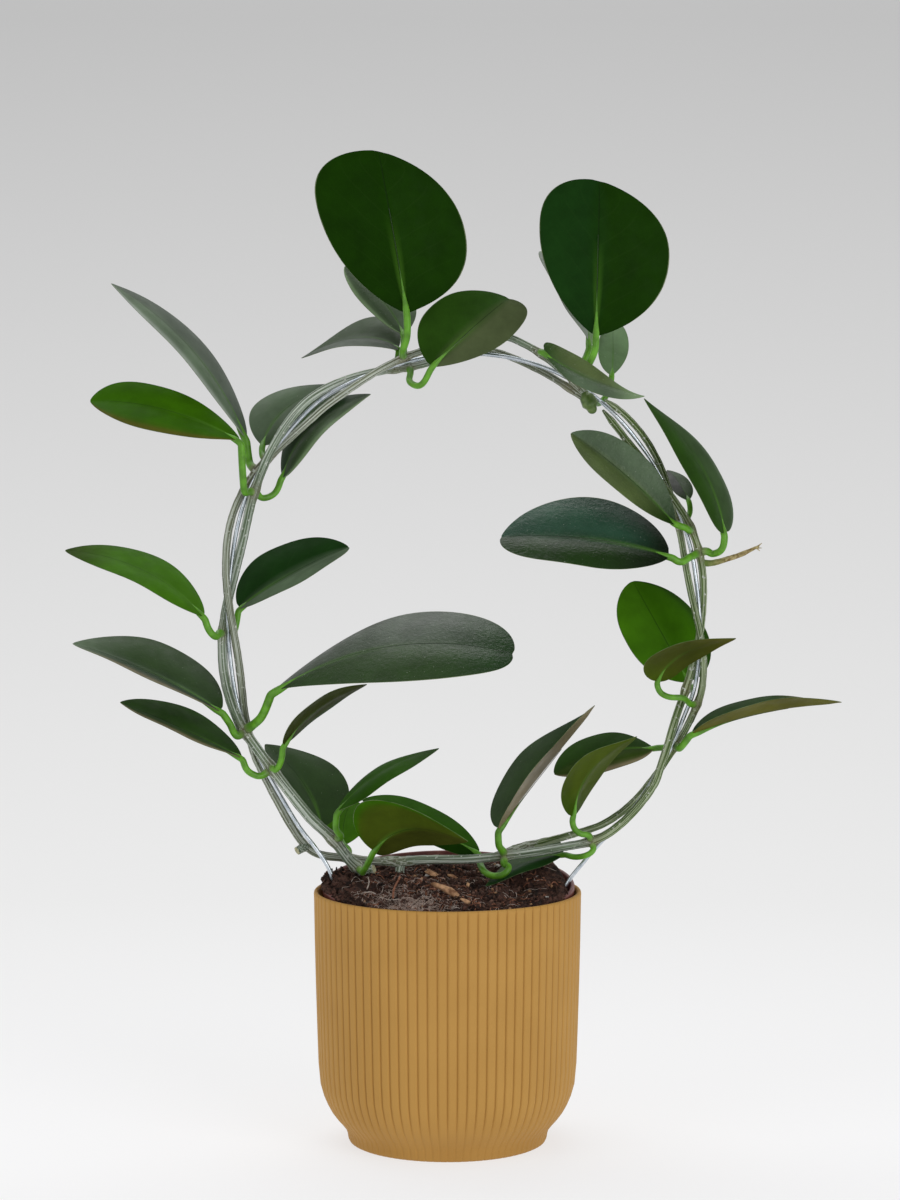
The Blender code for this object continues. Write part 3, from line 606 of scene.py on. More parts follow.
Vine = namedtuple("Vine", "name before wound phase radii after")
VINES = [
    Vine("vine_left", before=[(366, 905, 8), (363, 876, 8), (347, 857, 2), (333, 839, -4), (308, 815, -7)],
         wound=(0.17, 0.47), phase=300, radii=(3.0, 1.8),
         after=[(430, 362, 5), (449, 353, 6.5), (468, 342, 6.5), (488, 336, 4), (507, 337, 0), (526, 345, -3),
                (541, 354, -5), (556, 366, -6), (572, 380, -6), (584, 392, -7.5)]),
    Vine("vine_centre",
         before=[(400, 905, 10), (400, 876, 10), (402, 863, 10), (416, 860, 9), (470, 859, 3), (526, 853, -5),
                 (563, 847, -6), (588, 842, -6), (609, 833, -7), (633, 812, -6)],
         wound=(0.86, 0.583), phase=30, radii=(2.5, 1.8), after=[]),
    Vine("vine_back", before=[(395.8, 861, 10), (374, 861, 11), (348, 858, 12), (322, 855, 11), (306, 846, 9),
                              (288, 820, 7)],
         wound=(0.15, 0.60), phase=120, radii=(2.2, 1.8), after=[]),
    Vine("vine_right", before=[(513, 849, 0.6), (544, 842, 5), (574, 834, 7), (603, 824, 7.5), (629, 806, 7),
                               (653, 779, 5.5)],
         wound=(0.83, 0.588), phase=210, radii=(2.0, 1.7), after=[]),
]


def wound_line(start, end, phase):
    """A route round the wire from one share of the hoop's length to another, at an even pitch."""
    points = spaced(hoop, HOOP_MARKS + 1)
    first, last = round(start * HOOP_MARKS), round(end * HOOP_MARKS)
    made = []
    for i in range(first, last, WIND_STRIDE if last > first else -WIND_STRIDE):
        along = direction(points, i)
        outward = along.cross(Vector((0, 1, 0))).normalized()
        backward = outward.cross(along).normalized()
        turn = math.radians(phase) + 2 * math.pi * WIND_TURNS * i / HOOP_MARKS
        made.append(points[i] + (outward * math.cos(turn) + backward * math.sin(turn)) * WIND_RADIUS)
    return made


stem_lines = {}
for vine in VINES:
    places = route_seen(vine.before) + wound_line(*vine.wound, vine.phase) + route_seen(vine.after)
    stem_lines[vine.name] = smooth(places, STEM_STEP)
print("stems:", len(VINES))

# %% [markdown]
# ## Where the leaves stand
#
# Leaves stand in ones and twos at the stems' nodes. Each has the node, the places that its stalk passes, and
# five places of its blade: base, middle and tip along the midrib, and the two edges where it is widest. The
# depths say how the blade leans and folds. The form says how full each edge is below and above its widest.

# %% Lay out the leaves
OVAL = ((0.8, 0.8), (0.8, 0.8))
Leaf = namedtuple("Leaf", "vine node stalk base middle tip left right form", defaults=[OVAL])
LEAVES = [
    Leaf("vine_back", node=(403, 357), stalk=[(403, 350, -11), (407, 336, -14)], base=(407, 313, -15),
         middle=(390, 214, -27), tip=(378, 151, -22), left=(466, 233, -15), right=(315, 200, -17),
         form=((0.95, 0.45), (0.65, 0.6))),
    Leaf("vine_left", node=(409, 365), stalk=[(410, 382, -12), (421, 385, -19)], base=(432, 367, -22),
         middle=(468, 333, -14), tip=(509, 299, 8), left=(509, 339, -8), right=(430, 307, -6),
         form=((0.7, 0.5), (0.62, 0.6))),
    Leaf("vine_left", node=(409, 365), stalk=[(404, 351, 12)], base=(404, 334, 17),
         middle=(379, 297, 36), tip=(345, 266, 52), left=(361, 302, 30), right=(408, 291, 44)),
    Leaf("vine_left", node=(397, 366), stalk=[(398, 357, 17)], base=(399, 348, 22),
         middle=(378, 340, 30), tip=(301, 358, 44), left=(379, 347, 14), right=(388, 316, 52),
         form=((0.6, 0.8), (0.6, 1.9))),
    Leaf("vine_back", node=(257, 471), stalk=[(249, 461, 10)], base=(246, 438, 11),
         middle=(187, 345, 10), tip=(111, 283, 6), left=(178, 353, -8), right=(198, 337, 30),
         form=((0.8, 0.9), (0.5, 1.1))),
    Leaf("vine_left", node=(252, 492), stalk=[(245, 493, -10), (243, 478, -13)], base=(241, 441, -14),
         middle=(161, 409, -12), tip=(90, 401, -2), left=(153, 431, -30), right=(155, 384, 0),
         form=((1.3, 0.8), (0.55, 0.75))),
    Leaf("vine_back", node=(265, 458), stalk=[], base=(262, 445, 15),
         middle=(281, 414, 28), tip=(345, 383, 40), left=(256, 403, 38), right=(302, 425, 15),
         form=((0.7, 1.4), (0.8, 0.8))),
    Leaf("vine_back", node=(250, 486), stalk=[(262, 498, 8), (275, 493, 11)], base=(282, 477, 12),
         middle=(306, 433, 22), tip=(371, 394, 30), left=(296, 422, 38), right=(316, 442, 8),
         form=((0.8, 0.8), (0.6, 1.0))),
    Leaf("vine_left", node=(226, 634), stalk=[(216, 637, -8), (209, 630, -10)], base=(204, 616, -10),
         middle=(147, 573, -6), tip=(65, 550, 0), left=(141, 586, -24), right=(160, 558, 18),
         form=((0.8, 0.7), (0.6, 0.8))),
    Leaf("vine_left", node=(226, 634), stalk=[], base=(239, 608, 11),
         middle=(290, 576, 10), tip=(349, 547, 6), left=(269, 550, 30), right=(298, 583, -12),
         form=((0.55, 0.6), (0.7, 0.6))),
    Leaf("vine_left", node=(243, 733), stalk=[(230, 724, -8)], base=(221, 711, -10),
         middle=(157, 677, -4), tip=(73, 643, 2), left=(150, 679, -22), right=(178, 649, 20),
         form=((0.8, 0.5), (0.6, 0.85))),
    Leaf("vine_left", node=(266, 771), stalk=[(257, 776, -10), (247, 770, -11)], base=(242, 757, -11),
         middle=(178, 728, -6), tip=(120, 702, 0), left=(175, 732, -24), right=(190, 709, 18)),
    Leaf("vine_left", node=(243, 733), stalk=[(262, 716, -14)], base=(272, 692, -21),
         middle=(408, 645, -40), tip=(513, 654, -44), left=(429, 611, -14), right=(413, 680, -62),
         form=((0.95, 0.5), (1.4, 0.5))),
    Leaf("vine_left", node=(266, 771), stalk=[(275, 771, -11), (281, 761, -12)], base=(283, 745, -12),
         middle=(312, 713, -4), tip=(367, 684, 8), left=(317, 718, 16), right=(307, 706, -18),
         form=((0.8, 0.8), (0.5, 1.0))),
    Leaf("vine_left", node=(333, 840), stalk=[(329, 836, 8)], base=(322, 828, 14),
         middle=(305, 788, 30), tip=(265, 744, 46), left=(288, 797, 16), right=(346, 779, 46)),
    Leaf("vine_left", node=(333, 840), stalk=[(336, 829, -12)], base=(337, 811, -14),
         middle=(371, 779, -6), tip=(439, 748, 4), left=(366, 775, 14), right=(380, 788, -26),
         form=((0.8, 1.2), (1.1, 0.8))),
    Leaf("vine_left", node=(356, 869), stalk=[(363, 872, -9), (369, 861, -20)], base=(374, 851, -26),
         middle=(410, 829, -44), tip=(468, 841, -54), left=(420, 846, -30), right=(371, 799, -56),
         form=((0.5, 0.8), (0.42, 0.8))),
    Leaf("vine_centre", node=(505, 856), stalk=[(509, 867, -10), (504, 874, -12), (494, 876, -9),
         (485, 872, -2), (480, 863, 7)], base=(480, 853, 10), middle=(428, 828, 15), tip=(362, 800, 26),
         left=(438, 847, 11), right=(431, 806, 32), form=((0.8, 0.8), (0.6, 0.8))),
    Leaf("vine_back", node=(348, 858), stalk=[], base=(344, 845, 19),
         middle=(344, 822, 34), tip=(352, 800, 50), left=(322, 828, 30), right=(368, 820, 38)),
    Leaf("vine_centre", node=(505, 856), stalk=[(499, 846, -9)], base=(498, 829, -10),
         middle=(541, 775, -2), tip=(595, 705, 0), left=(514, 761, 20), right=(535, 767, -22),
         form=((0.5, 1.7), (0.6, 0.9))),
    Leaf("vine_right", node=(678, 745), stalk=[(666, 747, 13)], base=(654, 748, 15),
         middle=(603, 753, 28), tip=(554, 774, 38), left=(608, 771, 14), right=(595, 734, 46),
         form=((0.8, 0.8), (0.8, 0.55))),
    Leaf("vine_centre", node=(590, 842), stalk=[(581, 834, -12), (574, 828, -13)], base=(572, 817, -14),
         middle=(583, 782, -16), tip=(637, 736, -12), left=(592, 789, 6), right=(566, 775, -34),
         form=((0.8, 0.8), (0.5, 1.7))),
    Leaf("vine_centre", node=(590, 842), stalk=[(587, 855, -11), (575, 857, -6)], base=(563, 854, 1),
         middle=(528, 861, 5), tip=(485, 886, -10), left=(536, 868, -1), right=(542, 838, 26)),
    Leaf("vine_centre", node=(687, 691), stalk=[(690, 688, 10)], base=(689, 682, 14),
         middle=(662, 635, 22), tip=(633, 581, 34), left=(627, 645, 14), right=(702, 622, 36),
         form=((0.65, 0.6), (0.45, 0.75))),
    Leaf("vine_right", node=(692, 703), stalk=[(683, 698, -12), (669, 697, -14), (660, 692, -14)],
         base=(656, 681, -14), middle=(673, 660, -22), tip=(736, 638, -24), left=(686, 668, -12),
         right=(651, 656, -42), form=((0.7, 0.8), (0.45, 1.1))),
    Leaf("vine_right", node=(678, 745), stalk=[], base=(692, 733, -6),
         middle=(758, 714, -4), tip=(842, 702, -2), left=(748, 698, 20), right=(756, 703, -24),
         form=((0.7, 1.9), (0.8, 0.9))),
    Leaf("vine_centre", node=(700, 553), stalk=[(690, 557, -8), (680, 562, -12)], base=(670, 556, -13),
         middle=(596, 541, -20), tip=(501, 537, -22), left=(582, 566, -40), right=(596, 498, 4),
         form=((0.6, 0.5), (0.5, 0.75))),
    Leaf("vine_centre", node=(692, 527), stalk=[(686, 528, -12)], base=(676, 525, -13),
         middle=(628, 478, -10), tip=(571, 433, -6), left=(610, 485, -30), right=(641, 453, -8)),
    Leaf("vine_centre", node=(700, 552), stalk=[(712, 554, -4), (722, 549, -8)], base=(725, 533, -8),
         middle=(705, 474, 0), tip=(644, 398, 0), left=(692, 483, -22), right=(721, 472, 22),
         form=((0.6, 0.9), (0.4, 2.0))),
    Leaf("vine_right", node=(682, 520), stalk=[(690, 512, 12)], base=(689, 500, 15),
         middle=(681, 485, 26), tip=(667, 470, 44), left=(672, 489, 22), right=(691, 483, 30)),
    Leaf("vine_left", node=(576, 384), stalk=[(582, 376, -11), (590, 362, -12), (595, 350, -13)],
         base=(596, 336, -13), middle=(598, 240, -22), tip=(599, 181, -14), left=(670, 256, -9),
         right=(539, 224, -11), form=((0.85, 0.56), (0.75, 0.5))),
    Leaf("vine_back", node=(594, 402), stalk=[(600, 403, 8), (609, 391, 12)], base=(612, 375, 14),
         middle=(613, 346, 28), tip=(612, 318, 46), left=(598, 350, 24), right=(629, 345, 30)),
    Leaf("vine_back", node=(575, 377), stalk=[(581, 367, 11), (586, 357, 14)], base=(590, 346, 17),
         middle=(578, 300, 34), tip=(540, 251, 54), left=(563, 303, 22), right=(598, 296, 48),
         form=((2.0, 0.6), (0.8, 0.8))),
    Leaf("vine_left", node=(541, 354), stalk=[], base=(544, 353, -12),
         middle=(575, 372, -21), tip=(645, 396, -22), left=(572, 352, -15), right=(580, 387, -29),
         form=((0.3, 2.6), (0.9, 0.9))),
]
print("leaves:", len(LEAVES))

# %% [markdown]
# ## The bark
#
# Young hoya bark is silvery grey-green, with fine streaks along the stem and brown corky patches round the
# nodes. Its long silver patches are partly that silvery skin and partly a painted sheen. The curve's UV map
# runs once round the stem and once along it, so noise that is squeezed in U and stretched in V gives the
# streaks. How near a place is to a node is stored on the mesh as an attribute. The stem at the back is older
# and browner and the one on the right is young and green, so there are three.

# %% Make the barks
def bark_finish(name, furrow, ridge, sheen_silver):
    finish, shader = new_finish(name, 0.55, 0.4)
    node_near = add(finish, "ShaderNodeAttribute", attribute_name="node_near").outputs["Fac"]
    uv = add(finish, "ShaderNodeTexCoord").outputs["UV"]
    fine = add(finish, "ShaderNodeMapping", {"Vector": uv, "Scale": (15.0, 90.0, 1.0)}).outputs["Vector"]
    long = add(finish, "ShaderNodeMapping", {"Vector": uv, "Scale": (5.0, 14.0, 1.0)}).outputs["Vector"]
    streak = stretched(finish, mottle(finish, 1.0, 4, 0.6, fine), 0.36, 0.56)
    # The long silver patches are partly the bark's own silvery skin and partly painted sheen.
    silver_and_sheen = stretched(finish, mottle(finish, 1.0, 3, 0.6, long), 0.47, 0.56)
    speck = stretched(finish, mottle(finish, 520, 2, 0.5), 0.64, 0.68)
    base = mixed(finish, streak, furrow, ridge)
    grey = mixed(finish, silver_and_sheen, base, sheen_silver)
    scar = stretched(finish, mottle(finish, 620, 3, 0.7), 0.56, 0.66, 0, 0.9)
    scar = math_node(finish, "MULTIPLY", scar, stretched(finish, node_near, 0.05, 0.5))
    worn = mixed(finish, math_node(finish, "MULTIPLY", node_near, 0.45), grey, (0.31, 0.25, 0.13))
    brown = mixed(finish, scar, worn, (0.13, 0.10, 0.05))
    paint(finish, shader, base_color=mixed(finish, speck, brown, (0.74, 0.78, 0.70)))
    rough = math_node(finish, "ADD", streak, mottle(finish, 900, 4, 0.7))
    raise_bumps(finish, shader, rough, 0.0006, 0.8)
    return finish


bark = bark_finish("grey_green_bark", (0.026, 0.052, 0.020), (0.25, 0.34, 0.21), (0.74, 0.82, 0.72))
green_bark = bark_finish("young_green_bark", (0.014, 0.036, 0.004), (0.13, 0.22, 0.045), (0.56, 0.66, 0.42))
old_bark = bark_finish("old_brown_bark", (0.036, 0.038, 0.016), (0.28, 0.32, 0.20), (0.74, 0.80, 0.69))
BARKS = {"vine_right": [green_bark], "vine_back": [old_bark], "vine_centre": [bark, green_bark]}
print("barks:", len({finish.name for finishes in BARKS.values() for finish in finishes}))

# %% [markdown]
# ## The stems
#
# Hoya stems are round, with small raised scars and a swollen ring at each node, where the leaves stand. Each
# is a tube whose radius is larger at the nodes, and its surface is made uneven afterwards. The stem that
# starts in the middle is grey in front and turns green further on, so its faces have two finishes.

# %% Grow the stems
NODE_SWELLING = 1.28
NODE_REACH = 3.2 * MM
GREEN_FROM = seen(590, 842, 0).x
END_TURNS = (0.4, 0.8, 1.15, 1.4)
stem_radii = {}


def knots_on(line, vine_name):
    """The points of a stem's line where leaves stand."""
    return [line[i] for i in sorted({nearest(line, leaf.node) for leaf in LEAVES if leaf.vine == vine_name})]


def nearness(place, knots, reach):
    return max([bell((place - knot).length, reach) for knot in knots] or [0])


def mark_nodes(mesh, near):
    """Stores on a stem how near each corner is to a node, for the bark to read."""
    layer = mesh.attributes.new("node_near", "FLOAT", "POINT")
    for vert, item in zip(mesh.vertices, layer.data):
        item.value = near(vert.co)


def uneven(mesh, size, coarse=260, fine=900):
    """Moves each corner of a stem in or out a little, for knots and scars."""
    normals = [vert.normal.copy() for vert in mesh.vertices]
    for vert, normal in zip(mesh.vertices, normals):
        bumps = noise.noise(vert.co * coarse) + 0.5 * noise.noise(vert.co * fine)
        vert.co += normal * bumps * size


def rounded_off(line, radii):
    """The same route with a round end."""
    way = direction(line, len(line) - 1)
    return (line + [line[-1] + way * radii[-1] * math.sin(turn) for turn in END_TURNS],
            radii + [radii[-1] * math.cos(turn) for turn in END_TURNS])


for vine in VINES:
    line = stem_lines[vine.name]
    knots = knots_on(line, vine.name)
    last = len(line) - 1
    radii = []
    for i, point in enumerate(line):
        radius = (vine.radii[0] + (vine.radii[1] - vine.radii[0]) * i / last) * MM
        taper = 1 if vine.after else min(1, 0.4 + 0.6 * (last - i) / 4)
        radii.append(radius * (1 + (NODE_SWELLING - 1) * nearness(point, knots, NODE_REACH)) * taper)
    stem_radii[vine.name] = radii
    mesh = tubes(vine.name + "_bark", [rounded_off(line, radii)], roundness=4)
    uneven(mesh, 0.16 * MM)
    mark_nodes(mesh, lambda at: nearness(at, knots, 1.5 * NODE_REACH))
    finishes = BARKS.get(vine.name, [bark])
    for face in mesh.polygons:
        face.material_index = len(finishes) - 1 if face.center.x > GREEN_FROM else 0
    add_piece(vine.name + "_bark", mesh, finishes, [vine.name], sharp=70)
    print(vine.name, "length", round(length_of(line), 3), "m, nodes", len(knots))

# %% [markdown]
# ## Finishes of the short shoots
#
# Two side shoots were cut off near the soil and show pale oval cut faces. A round green bud hangs from the
# end of the longest stem, and a dry twig stands out on the right, green at its foot and straw-coloured
# further on. The twig's change of colour is read from its place along X.

# %% Mix the finishes of the shoots
cut_wood = two_tone("pale_cut_face", 0.8, 0.2, (700, 3, 0.6), (0.35, 0.65), (0.20, 0.20, 0.10),
                    (0.52, 0.50, 0.33))
bud_green = two_tone("bud_green", 0.4, 0.4, (230, 2), (0.4, 0.65), (0.060, 0.115, 0.022),
                     (0.13, 0.20, 0.055), bumps=((500, 2), 0.0002, 0.5))

TWIG_FOOT = seen(703, 563, 0).x
dry, shader = new_finish("dry_twig", 0.7, 0.25)
fibre = stretched(dry, mottle(dry, 500, 4, 0.7), 0.38, 0.66)
straw = mixed(dry, fibre, (0.17, 0.115, 0.035), (0.52, 0.44, 0.22))
living = stretched(dry, place_parts(dry)["X"], TWIG_FOOT + 2 * MM, TWIG_FOOT + 14 * MM, 0.9, 0.0)
paint(dry, shader, base_color=mixed(dry, living, straw, (0.10, 0.17, 0.03)))
raise_bumps(dry, shader, mottle(dry, 1200, 4), 0.0004, 0.8)
print("twig's foot:", round(TWIG_FOOT, 3), "m across")

# %% [markdown]
# ## Cut stubs, a bud, a twig and two forks
#
# Each shoot is a short tube with a radius at every place of its route. A stub's cut face is the tube's end
# cap, with a pale finish of its own. Where one stem branches off another, a short swollen fork covers the
# join. Three thin hairs fray the twig's end.

# %% Make the shoots
Shoot = namedtuple("Shoot", "name finishes route radii")
SHOOTS = [
    Shoot("stub_low_left", [bark, cut_wood], [(306, 846, 9), (297, 851, 6)], (2.6, 2.2)),
    Shoot("stub_cut", [bark, cut_wood], [(360, 872, 8), (374, 869, 5)], (2.4, 2.4)),
    Shoot("bud_round", [bud_green], [(584, 392, -7.5), (587, 398, -8), (590, 404, -8.5), (592, 409, -8.5)],
          (1.7, 3.9, 4.2, 2.6)),
    Shoot("twig_dry", [dry], [(701, 563, 0), (712, 563, 3), (724, 560, 5), (742, 554, 6), (759, 546, 7)],
          (1.9, 1.6, 1.4, 1.3, 0.6)),
    Shoot("fork_by_the_soil", [bark],
          [(420, 860, 9), (408, 861, 10), (400, 862, 10.2), (390, 861, 10.4), (378, 861, 11)],
          (2.3, 2.8, 3.1, 2.8, 2.1)),
    Shoot("fork_in_front", [bark],
          [(496, 856, 0.5), (506, 853, 0), (515, 850, 0.6), (526, 846, 2.6), (538, 843, 4.4)],
          (2.2, 2.5, 2.6, 2.3, 1.9)),
]
TWIG_FRAYS = [((757, 547, 7), (762, 543, 8)), ((756, 548, 7), (762, 548, 6)), ((755, 547, 7), (760, 551, 8))]


def shoot_mesh(shoot):
    """A short tube whose radius runs softly from one place of its route to the next."""
    places = route_seen(shoot.route)
    line = smooth(places, 0.6 * MM)
    marks = [length_of(places[:i + 1]) for i in range(len(places))]
    radii = []
    for i in range(len(line)):
        at = marks[-1] * i / (len(line) - 1)
        k = max(j for j in range(len(marks) - 1) if marks[j] <= at + 1e-9)
        share = eased((at - marks[k]) / (marks[k + 1] - marks[k]))
        radii.append((shoot.radii[k] * (1 - share) + shoot.radii[k + 1] * share) * MM)
    route = rounded_off(line, radii) if shoot.name == "bud_round" else (line, radii)
    return tubes(shoot.name, [route], 8), line


for shoot in SHOOTS:
    mesh, line = shoot_mesh(shoot)
    kind = shoot.name.split("_")[0]
    if kind == "stub":
        end, way = line[-1], direction(line, len(line) - 1)
        for face in mesh.polygons:
            if (face.center - end).length < 3 * MM and face.normal.dot(way) > 0.9:
                face.material_index = 1
    if kind == "fork":
        uneven(mesh, 0.16 * MM)
        mark_nodes(mesh, lambda at: 0.5)
    elif kind != "bud":
        uneven(mesh, 0.12 * MM, 400, 1200)
    add_piece(shoot.name, mesh, shoot.finishes, [], sharp=180 if kind == "bud" else 70)

frays = [([seen(*start), (seen(*start) + seen(*end)) / 2, seen(*end)], [0.45 * MM, 0.35 * MM, 0.12 * MM])
         for start, end in TWIG_FRAYS]
add_piece("twig_frays", tubes("twig_frays", frays, 1), [dry], [])
print("shoots:", len(SHOOTS))

# %% [markdown]
# ## The colour of each blade
#
# No two leaves have quite the same colour. New ones are fresh green, old ones are deep green and the
# undersides are olive. The ones that lie open to the sky are grey, from a sheen painted into their tones. On
# a folded leaf the two halves differ as well, partly in colour and partly by painted sheen and shade. So
# each leaf has a look: a tone for its left and its right half, and, where it shows one, a tone for an edge,
# for its base or for its tip. The tones are shared, and each is given as it looks on a screen.

# %% Mix the tones of the leaves
def as_seen(red, green, blue):
    """A colour given as it looks on a screen, from 0 to 255, in the shader's own scale."""
    return Vector([(value / 255) ** 2.2 for value in (red, green, blue)])


# The grey, slate, silver, mint and sea tones and the light tone are painted sheen; black is painted shade.
SCREEN_TONES = {
    "shade_black": (14, 26, 12), "deep": (26, 52, 7), "pine": (28, 56, 22),
    "upper": (42, 70, 22), "fern": (46, 68, 34), "grass": (46, 84, 12),
    "fresh": (54, 94, 12), "lime": (64, 108, 20), "moss": (50, 70, 14),
    "olive": (66, 72, 28), "khaki": (84, 84, 32), "sage": (58, 78, 48),
    "grey": (84, 102, 78), "sheen_slate": (84, 94, 82), "sheen_silver": (140, 150, 138),
    "sheen_sea": (46, 76, 60), "light": (120, 145, 105), "brown": (118, 94, 24),
    "pink": (128, 118, 92), "plum": (58, 62, 56), "dusk": (74, 84, 56),
    "underside": (92, 102, 56), "bronze": (54, 62, 22), "willow": (84, 100, 58),
    "lichen": (68, 82, 24), "stalk": (88, 142, 38), "collar": (120, 128, 92),
    "sheen_mint": (97, 124, 86),
}
TONES = {name: as_seen(*tone) for name, tone in SCREEN_TONES.items()}
Look = namedtuple("Look", "left right left_edge right_edge base tip back gloss",
                  defaults=[None] * 5 + ["satin"])
# Where the halves of a folded leaf differ, it is partly painted sheen and shade.
LOOKS = [
    Look("deep", "deep", gloss="matt"),
    Look("dusk", "upper", gloss="matt"),
    Look("sage", "grey", left_edge="light"),
    Look("sheen_slate", "sage"),
    Look("grey", "sheen_slate", left_edge="sheen_silver"),
    Look("fresh", "fresh", left_edge="khaki", gloss="matt"),
    Look("grey", "sage", tip="sheen_slate"),
    Look("pine", "sage", right_edge="light"),
    Look("lime", "lime", tip="moss", gloss="matt"),
    Look("pine", "grey", gloss="matt"),
    Look("pine", "fern", left_edge="pink", tip="grey"),
    Look("upper", "upper", left_edge="pink", gloss="matt"),
    Look("sheen_slate", "fern", tip="pine", gloss="waxed"),
    Look("bronze", "bronze", left_edge="sage", back="bronze", gloss="matt"),
    Look("fern", "fern"),
    Look("grass", "grass", tip="upper", gloss="matt"),
    Look("olive", "lichen", right_edge="fresh", gloss="matt"),
    Look("deep", "grass", gloss="matt"),
    Look("lime", "lime", gloss="matt"),
    Look("fern", "pink", right_edge="pink", tip="pine", back="pink"),
    Look("moss", "upper", left_edge="pink", gloss="matt"),
    Look("lichen", "lichen", base="moss", back="lichen", gloss="matt"),
    Look("pine", "upper"),
    Look("lime", "fresh", right_edge="upper", gloss="matt"),
    Look("olive", "olive", base="lichen", tip="khaki", back="upper", gloss="matt"),
    Look("fern", "khaki", tip="brown", back="khaki", gloss="matt"),
    Look("deep", "sheen_sea", base="shade_black", gloss="waxed"),
    Look("willow", "grey", base="deep", gloss="waxed"),
    Look("upper", "sage", right_edge="grey", gloss="matt"),
    Look("plum", "sage", base="upper"),
    Look("deep", "pine", gloss="matt"),
    Look("sheen_mint", "sheen_mint"),
    Look("sheen_silver", "light"),
    Look("willow", "grey", base="upper", tip="light", gloss="waxed"),
]


def blade_colour(look, a, t):
    """The blade's colour at a share across, from -1 to 1, and along."""
    colour = TONES[look.left].lerp(TONES[look.right], eased((a + 0.05) / 0.1))
    shares = ((look.left_edge, eased((-a - 0.7) / 0.25)), (look.right_edge, eased((a - 0.7) / 0.25)),
              (look.base, 1 - eased(t / 0.35)), (look.tip, eased((t - 0.6) / 0.4)))
    for tone, share in shares:
        if tone:
            colour = colour.lerp(TONES[tone], share)
    return colour


print("tones:", len(TONES))

# %% [markdown]
# ## The form of a blade
#
# A hoya leaf is thick and waxy, oval with a short point, and a little folded along its midrib. Its midrib is
# a curve through its base, middle and tip, and the two halves run from it to the edges. Each half is a
# little crowned, and its edge is gently wavy. One function gives the point at any place on the blade.

# %% Work out the form of a blade
BLADE_CROWN = 0.035
BLADE_WAVE = 0.011
WAVES_ALONG = 3.3


def blade_width(t, widest, form):
    """How far an edge is from the midrib at a share of the blade's length, as a share of the most."""
    if t < widest:
        return (1 - ((widest - t) / widest) ** 2.2) ** form[0]
    return (1 - ((t - widest) / (1 - widest)) ** 2.2) ** form[1]


def midrib_of(leaf):
    """The blade's midrib, from 0 at its base to 1 at its tip, and the share where it is widest."""
    base, middle, tip = (seen(*place) for place in (leaf.base, leaf.middle, leaf.tip))
    widest = (middle - base).length / ((middle - base).length + (tip - middle).length)

    def midrib(t):
        a = (t - widest) * (t - 1) / widest
        b = t * (t - 1) / (widest * (widest - 1))
        c = t * (t - widest) / (1 - widest)
        return base * a + middle * b + tip * c

    return midrib, widest


def surface_of(leaf, number):
    """A function for the blade's surface, and the share of its length where it is widest."""
    midrib, widest = midrib_of(leaf)
    middle = midrib(widest)
    left, right = seen(*leaf.left) - middle, seen(*leaf.right) - middle
    size = (right - left).length

    def place_on(a, t):
        """The point of the blade at a share across, from -1 to 1, and along, and the way up from it."""
        along = (midrib(t + 0.01) - midrib(t - 0.01)).normalized()
        side = right - left
        side = (side - along * side.dot(along)).normalized()
        up = side.cross(along)
        share = blade_width(t, widest, leaf.form[1 if a > 0 else 0])
        half = (right if a > 0 else left) * abs(a) * share
        crown = BLADE_CROWN * size * math.sin(math.pi * min(1, abs(a) * 1.05)) * share * share
        phase = number * 1.7 + (1.3 if a > 0 else 0)
        wave = BLADE_WAVE * size * a * a * math.sin(math.pi * WAVES_ALONG * t + phase) * share
        return midrib(t) + half + up * (crown + wave), up

    return place_on, widest


print("leaves of the plain oval form:", sum(leaf.form == OVAL for leaf in LEAVES))

# %% [markdown]
# ## The stalk
#
# A leaf's stalk is short, stout and bright green. It leaves the stem square, bends to the blade, and runs on
# under the blade as its midrib, where it soon thins out. A longer blade stands on a thicker stalk.

# %% Lead the stalks to the blades
STALK_SLIM = 1.2 * MM
STALK_GROWTH = 0.009
RUN_START, RUN_REACH, RUN_POINTS = 0.03, 0.62, 16


def stalk_line(leaf):
    """The stalk's route, square off the stem and into the blade's base."""
    line, radii = stem_lines[leaf.vine], stem_radii[leaf.vine]
    node = nearest(line, leaf.node)
    marks = [seen(*place) for place in leaf.stalk] + [seen(*leaf.base)]
    along = direction(line, node)
    off = marks[0] - line[node]
    off = (off - along * off.dot(along)).normalized()
    foot = line[node] + off * (0.6 * radii[node])
    reach = min(3 * MM, (marks[0] - foot).length / 3)
    skin = line[node] + off * (radii[node] + 0.45 * MM)
    return smooth([foot, skin + off * reach] + marks, 1.5 * MM)


def stalk_and_run(leaf, place_on):
    """The points and radii of the stalk and of its run under the blade."""
    radius = STALK_SLIM + STALK_GROWTH * (seen(*leaf.tip) - seen(*leaf.base)).length
    line = stalk_line(leaf)[:-1]
    radii = [radius * (1 + 0.22 * bell(i, 2.2)) for i in range(len(line))]
    for i in range(RUN_POINTS):
        share = i / (RUN_POINTS - 1)
        point, up = place_on(0, RUN_START + RUN_REACH * share)
        radii.append(radius * (0.08 + 0.87 * (1 - share) ** 6))
        line.append(point - up * radii[-1] * min(1, 0.5 + 3 * share))
    return line, radii


print("longest stalk:", round(max(length_of(stalk_line(leaf)) for leaf in LEAVES) / MM), "mm")

# %% [markdown]
# ## The blade
#
# Each blade is a grid laid over its surface, whose columns go across the blade and whose rows go along it. A
# copy is extruded to the underside, thicker along the midrib. The places across and along are kept on the
# corners, so that the UV map and the colours can be worked out from them. The side that is turned to the
# camera gets the leaf's own look, and the other side a plain tone.

# %% Shape one leaf
BLADE_THICKNESS = 0.85 * MM
BLADE_COLUMNS = 12
BLADE_ROWS = 24


